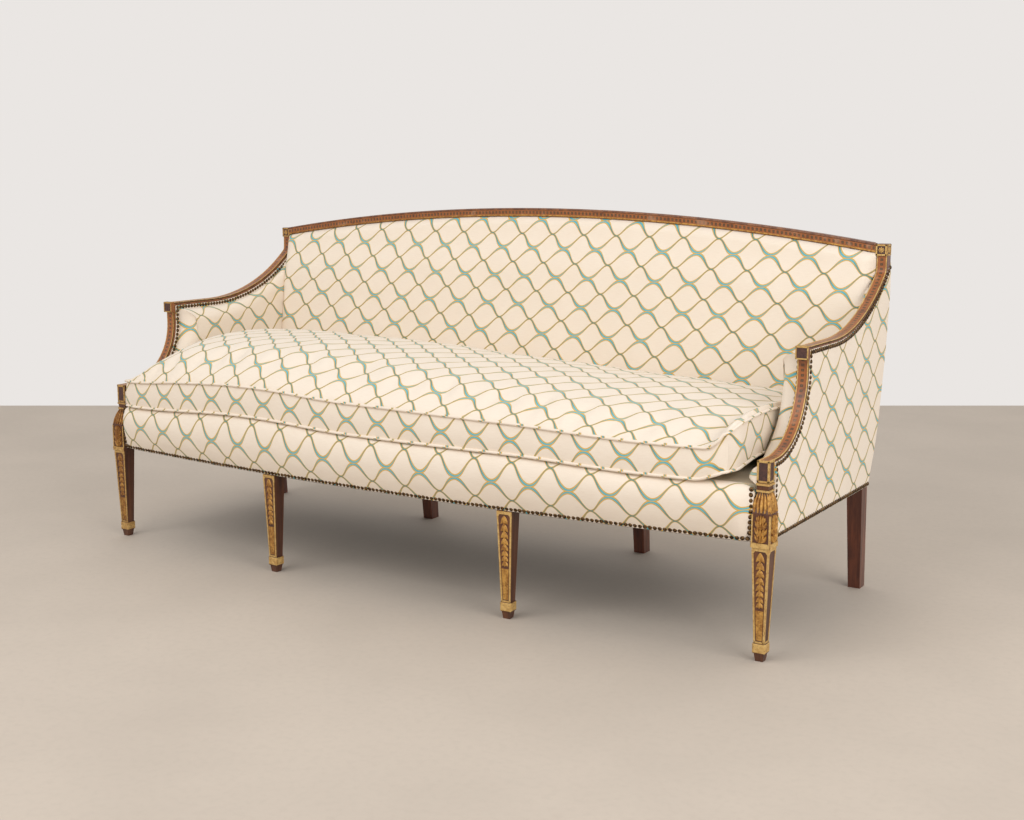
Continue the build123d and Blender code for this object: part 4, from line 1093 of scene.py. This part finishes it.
def side_band(name, path, sign):
    """Gold-edged painted band along a path in the side view."""
    lift, bead, panel, edge, slope = 0.0004, 0.0013, 0.0005, 0.0027, 0.0007
    rim = [(0.0, -0.002), (0.0, lift), (slope, bead), (edge - slope, bead), (edge, panel)]
    profile = rim + [(show_width - a, h) for a, h in reversed(rim)]
    outward = path_normals(path, (-1, 1))
    rows = []
    for (y, z), (ny, nz) in zip(path, outward):
        rows.append([(sign * (show_inside + a), y + ny * h, z + nz * h) for a, h in profile])
    across = [a - show_width / 2 for a, h in profile]
    band(name, rows, across, [0, 0, 0, 0, 1, 0, 0, 0, 0, 0], arc_lengths(path), (pale_gold, band_paint))


def show_wood(side, sign):
    """Bands up the arm support and along the arm, and the gilt block at the arm's front end."""
    arc = support_arc(support_radius, 36)
    foot = [(post_rear - head_size - 0.0005, head_top), (post_rear, head_top)]
    support = np.vstack([foot, arc, (arc[-1, 0], arm_top - arm_thickness)])
    side_band("support_band_" + side, resample(support, 60), sign)
    top = arm_path(0.0, front_line, arm_front + 0.010, 70)
    rise = [(front_line(z), z) for z in np.linspace(top[-1, 1] + 0.012, post_top - rosette_size, 14)]
    side_band("arm_band_" + side, resample(np.vstack([top, rise]), 96), sign)
    gilt, panel = Relief(), Relief()
    tall = arm_thickness + arm_block_proud
    wide = show_width + 2 * arm_block_proud
    block_x = sign * (show_inside + show_width / 2)
    front_face = (block_x, arm_front - arm_block_proud, arm_top - arm_thickness + tall / 2)
    framed(gilt, panel, front_face, (1, 0, 0), upwards, wide, tall, 0.0028)
    top_face = (block_x, arm_front + 0.004, arm_top + arm_block_proud)
    framed(gilt, panel, top_face, (1, 0, 0), (0, 1, 0), wide, 0.012, 0.0022)
    gilt.piece("arm_end_gilding_" + side, pale_gold)
    panel.piece("arm_end_panel_" + side, dark_panel)


def crest_band():
    """Moulding along the crest: rounded top edge, painted face with leaf spots, gilt lower bead."""
    profile = [
        (0.0030, -0.012), (-0.0006, -0.008), (-0.0010, 0.0), (-0.0006, 0.0050), (0.0008, 0.0072),
        (0.0030, 0.0078), (0.0046, 0.0070), (0.0050, 0.0064), (0.0170, 0.0064), (0.0174, 0.0072),
        (0.0190, 0.0076), (0.0206, 0.0072), (0.0214, 0.0050), (0.0200, -0.002),
    ]
    parts = [0, 0, 0, 0, 0, 0, 0, 1, 2, 2, 2, 2, 0, 0]
    reach = cover_face - rosette_size - 0.0005
    xs = np.linspace(-reach, reach, 123)
    rows = [[(x, front_line(crest_z(x, drop)) - n, crest_z(x, drop)) for drop, n in profile] for x in xs]
    across = [drop - 0.011 for drop, n in profile]
    band("crest_band", rows, across, parts, xs, (painted, band_paint, gold_leaf))


crest_band()
for side, sign in sides:
    show_wood(side, sign)

# Front legs
leg_ankle_half = 0.0115
leg_top_half = 0.019
ankle_height = 0.040
collar_low = 0.018
collar_half = 0.0135
collar_tall = 0.0208
corner_leg_top = 0.246
middle_leg_top = 0.2545
husk_count = 8
leg_slope = (leg_top_half - leg_ankle_half) / (rail_underside - ankle_height)
gilt_margin = 0.0006
middle_leg_x = 0.353


def leg_half(z):
    """Half the leg's width at a height."""
    return leg_ankle_half + leg_slope * (z - ankle_height)


def gilt_face(edges, half_low, half_high, length):
    """Gilt edges of one leg face, with a hollowed gilt head."""
    wide = 0.0040
    for way in (-1, 1):
        edges.bar([(way * half_low, 0), (way * (half_low - wide), 0), (way * (half_high - wide), length),
                   (way * half_high, length)], 0.0008)
        edges.bar([(way * half_high, length - 0.017), (way * (half_high - 0.005), length - 0.012),
                   (way * (half_high - 0.009), length - 0.006), (way * half_high, length - 0.004)], 0.0011)
    edges.bar(rectangle(-half_low, 0.0, 2 * half_low, 0.004), 0.0008)
    edges.bar(rectangle(-half_high, length - 0.007, 2 * half_high, 0.007), 0.0012)


def husk_chain(husks, length):
    """Bell husks and beads down one leg face, above a plain gilt strip."""
    place = length - 0.013
    size = 0.0200
    for _ in range(husk_count):
        wide = min(leg_half(ankle_height + place - size) - 0.0046, 0.0115)
        for way in (-1, 1):
            tip = (way * wide * 0.82, place - size * 0.85)
            husks.leaf((way * 0.001, place), tip, wide * 0.95, 0.0024, way * 0.002)
        husks.leaf((0, place + 0.001), (0, place - size * 1.02), wide * 0.85, 0.0034)
        husks.dome(0, place + 0.001, 0.0024, 0.0034, 8)
        place -= size * 0.92
        size *= 0.93
    low, high = leg_half(ankle_height) - 0.0052, leg_half(ankle_height + place) - 0.0052
    husks.bar([(-low, 0.006), (low, 0.006), (high, place - 0.006), (-high, place - 0.006)], 0.0006)


def leg_trim(name, x, y, turn, top, edged):
    """Gilding of a front leg: husks on its front, gilt edges on the edged faces, an ankle collar."""
    edges, husks = Relief(), Relief()
    for k in range(4):
        angle = turn + k * pi / 2
        out = Vector((sin(angle), -cos(angle), 0))
        right = Vector((cos(angle), sin(angle), 0))
        up = (upwards + out * leg_slope).normalized()
        foot = Vector((x, y, ankle_height)) + out * leg_ankle_half
        length = (top - ankle_height) / up.z
        if k in edged:
            edges.on(foot, right, up)
            gilt_face(edges, leg_ankle_half + gilt_margin, leg_half(top) + gilt_margin, length)
        if k == 0:
            husks.on(foot, right, up)
            husk_chain(husks, length)
        edges.on(Vector((x, y, collar_low)) + out * collar_half, right)
        reach = collar_half + 0.0004
        edges.bar(rectangle(-reach, 0.0008, 2 * reach, collar_tall), 0.0010, slope=0.0026)
    edges.piece(name + "_gilt_edges", pale_gold)
    husks.piece(name + "_husks", gold_leaf)


for side, sign in sides:
    leg_trim("corner_leg_" + side, sign * half_span, 0.0, 0.0, corner_leg_top, (0, 2 - sign))
    turn = asin(middle_leg_x / bow_radius)
    leg_y = float(bow_y(middle_leg_x)) - 0.004 + leg_top_half
    leg_trim("middle_leg_" + side, sign * middle_leg_x, leg_y, sign * turn, middle_leg_top, (0,))

# Front corner posts above the legs, and the tops of the rear posts
knee_height = 0.063
vase_height = 0.055
knee_leaves = ((0.002, 0.0125, 0.020), (0.016, 0.0135, 0.021), (0.031, 0.0125, 0.020), (0.043, 0.009, 0.016))


def post_carving(side, sign):
    """Knee block with leaves, waisted vase with acanthus, and the framed head of a front corner post."""
    gilt, leaves, panel = Relief(), Relief(), Relief()
    head_half = head_size / 2
    knee_high = rail_underside + knee_height
    vase_high = knee_high + vase_height
    post = Vector((sign * half_span, 0, 0))
    head = Vector((sign * (cover_face - 0.002 - head_half), post_rear - head_half, 0))
    for out in (Vector((0, -1, 0)), Vector((sign, 0, 0))):
        right = Vector((-out.y, out.x, 0))
        face = post + upwards * rail_underside + out * (post_size / 2)
        gilt.on(face, right)
        gilt.bar(rectangle(-0.0215, -0.010, 0.043, 0.0105), 0.0022, slope=0.0010)
        for way in (-1, 1):
            a, b = way * 0.0206, way * 0.0176
            gilt.bar([(a, 0.0), (b, 0.0), (b, 0.060), (a, 0.060)], 0.0012)
        leaves.on(face, right)
        for b, spread, size in knee_leaves:
            for way in (-1, 1):
                leaves.leaf((way * 0.001, b), (way * spread, b + size * 0.8), 0.0085, 0.0042, way * 0.002)
                tip = (way * spread * 0.55, b + size)
                leaves.leaf((way * 0.002, b + 0.002), tip, 0.0060, 0.0050, way * 0.001)
            leaves.leaf((0, b), (0, b + size * 1.05), 0.0062, 0.0056)
        waist = head + upwards * (vase_high - vase_height / 4) + out * vase_waist / 2
        knee_top = post + upwards * knee_high + out * (post_size / 2)
        shift = (waist - knee_top).dot(right)
        rise = waist - knee_top - right * shift
        leaves.on(knee_top, right, rise)
        length = rise.length
        for way, lean in ((-1, 0.013), (1, 0.013), (-1, 0.006), (1, 0.006)):
            tip = (shift + way * lean * 0.75, length * 0.96)
            leaves.leaf((way * lean * 1.25, 0.001), tip, 0.0085, 0.0036, way * 0.002)
        leaves.leaf((0, 0.001), (shift, length), 0.0100, 0.0048)
        head_face = head + upwards * vase_high + out * head_half
        gilt.on(head_face, right)
        reach = head_half + 0.0012
        gilt.bar(rectangle(-reach, -0.0135, 2 * reach, 0.0042), 0.0014)
        gilt.bar(rectangle(-reach - 0.0006, 0.0005, 2 * reach + 0.0012, 0.0045), 0.0022)
        head_middle = head_face + upwards * 0.0295
        framed(gilt, panel, head_middle, right, upwards, head_size + 0.0014, 0.046, 0.0040)
    gilt.piece("post_gilding_" + side, pale_gold)
    leaves.piece("post_leaves_" + side, gold_leaf)
    panel.piece("post_panel_" + side, dark_panel)


def rosette(side, sign):
    """Square rosette at the top of a rear post, on its front and its outer face."""
    gilt, dark = Relief(), Relief()
    low = post_top - rosette_size
    middle_z = low + rosette_size / 2
    face_y = min(front_line(low), front_line(post_top)) - rosette_proud
    middle = Vector((sign * (cover_face - rosette_size / 2), face_y, middle_z))
    outer = Vector((sign * cover_face, face_y + 0.016, middle_z))
    for out, place in ((Vector((0, -1, 0)), middle), (Vector((sign, 0, 0)), outer)):
        right = Vector((-out.y, out.x, 0))
        framed(gilt, dark, place, right, upwards, rosette_size, rosette_size, 0.0038, 0.0014)
        for turn in 2 * pi * np.arange(8) / 8:
            way = np.array([cos(turn), sin(turn)])
            gilt.leaf(0.0018 * way, 0.0080 * way, 0.0046, 0.0022)
        gilt.dome(0, 0, 0.0030, 0.0040)
    gilt.piece("rosette_gilding_" + side, pale_gold)
    dark.piece("rosette_ground_" + side, dark_panel)


for side, sign in sides:
    post_carving(side, sign)
    rosette(side, sign)

# Zip in the cushion's rear boxing
tooth_pitch = 0.0030
tooth_stagger = 0.0007


def cushion_zip():
    """Two tapes, their teeth and a slider."""
    low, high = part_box("cushion_zip")
    length, height = high.x - low.x, high.z - low.z
    start = -length / 2
    tape, teeth = Relief(), Relief()
    for relief in (tape, teeth):
        relief.on(((low.x + high.x) / 2, cushion_rear + 0.0035, (low.z + high.z) / 2), (-1, 0, 0))
    for side_low in (-height / 2, 0.001):
        tape.bar(rectangle(start, side_low, length, height / 2 - 0.001), 0.0008, sink=0.0040)
    for k in range(int(length / tooth_pitch)):
        shift = tooth_stagger if k % 2 else -tooth_stagger
        tooth = rectangle(start + k * tooth_pitch, shift - 0.0022, 0.0018, 0.0044)
        teeth.bar(tooth, 0.0018, slope=0.0003)
    teeth.bar(rectangle(start + 0.004, -0.0045, 0.011, 0.009), 0.0032)
    teeth.bar(rectangle(start + 0.013, -0.0020, 0.024, 0.004), 0.0036)
    cloth_part = tape.piece("cushion_zip_tape", zip_cloth, "zip_tape", "seat_cushion")
    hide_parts("cushion_zip")
    teeth.piece("cushion_zip_teeth", steel, "zip_tape", "seat_cushion")


cushion_zip()

# Stage: pale floor, a plain backdrop beyond it, soft lamps, and the camera at the photograph's view
view_turn = 0.56907
view_tilt = 0.16899
viewpoint = Vector((2.0050, -2.6135 + front_y, 0))
view_height = 1.0040
floor_reach = 6.0
floor_half = 14
backdrop_reach = 90
backdrop_tone = srgb(234, 230, 227)


def stage_plane(name, near, far, half, colour, rough):
    """Level plane between two lines across the view."""
    wide = sideways * half
    mesh = bpy.data.meshes.new(name)
    mesh.from_pydata([near - wide, near + wide, far + wide, far - wide], [], [(0, 1, 2, 3)])
    obj = bpy.data.objects.new(name, mesh)
    bpy.context.scene.collection.objects.link(obj)
    shader = Shader(name)
    place = shader.place()
    tone = colour
    clouds, specks = (1.6, 5.0, 0.3, 0.7, 0.6, 0.86), (60.0, 4.0, 0.4, 0.8, 0.25, 0.8)
    for scale, detail, low, high, most, dark in (clouds, specks):
        share = shader.ramp(shader.noise(place, scale, detail), low, high, 0.0, most)
        tone = shader.mix(share, tone, tuple(dark * c for c in colour[:3]) + (1.0,))
    mesh.materials.append(shader.finish(tone, rough, {}))
    return shader


def lamp(name, place, size, power):
    """Soft lamp turned to the seat."""
    data = bpy.data.lights.new(name, "AREA")
    data.shape = "RECTANGLE"
    data.size, data.size_y = size
    data.energy = power
    obj = bpy.data.objects.new(name, data)
    obj.location = place
    obj.rotation_euler = (Vector((0, 0, 0.4)) - Vector(place)).to_track_quat("-Z", "Y").to_euler()
    bpy.context.scene.collection.objects.link(obj)


heading = Vector((-sin(view_turn), cos(view_turn), 0))
sideways = Vector((heading.y, -heading.x, 0))
far_line = viewpoint + heading * floor_reach
stage_plane("floor", viewpoint - heading * floor_reach, far_line, floor_half, srgb(202, 189, 175), 0.75)
backdrop_end = far_line + heading * backdrop_reach
backdrop = stage_plane("backdrop", far_line, backdrop_end, backdrop_reach, srgb(240, 239, 238), 0.9)
glow = backdrop.node("Emission", {"Color": backdrop_tone})
backdrop.shown_as(Value(backdrop, backdrop.bsdf.outputs[0]), glow, "Material Output")

lamp("key_light", (-0.7, -3.2, 3.2), (3.0, 2.4), 58)
lamp("fill_light", (3.8, -1.4, 2.2), (2.6, 2.4), 60)

world = bpy.data.worlds.new("studio")
bpy.context.scene.world = world
world.use_nodes = True
sky = Nodes(world.node_tree)
ambient = sky.node("Background", {"Color": (1.0, 0.99, 0.975, 1.0), "Strength": 0.72})
sky.shown_as(ambient, sky.node("Background", {"Color": backdrop_tone}), "World Output")

camera_data = bpy.data.cameras.new("camera")
camera_data.sensor_width = 36.0
camera_data.lens = 48.726
camera = bpy.data.objects.new("camera", camera_data)
camera.location = viewpoint + upwards * view_height
camera.rotation_euler = (pi / 2 - view_tilt, 0, view_turn)
bpy.context.scene.collection.objects.link(camera)
bpy.context.scene.camera = camera
bpy.context.scene.view_settings.view_transform = "Standard"
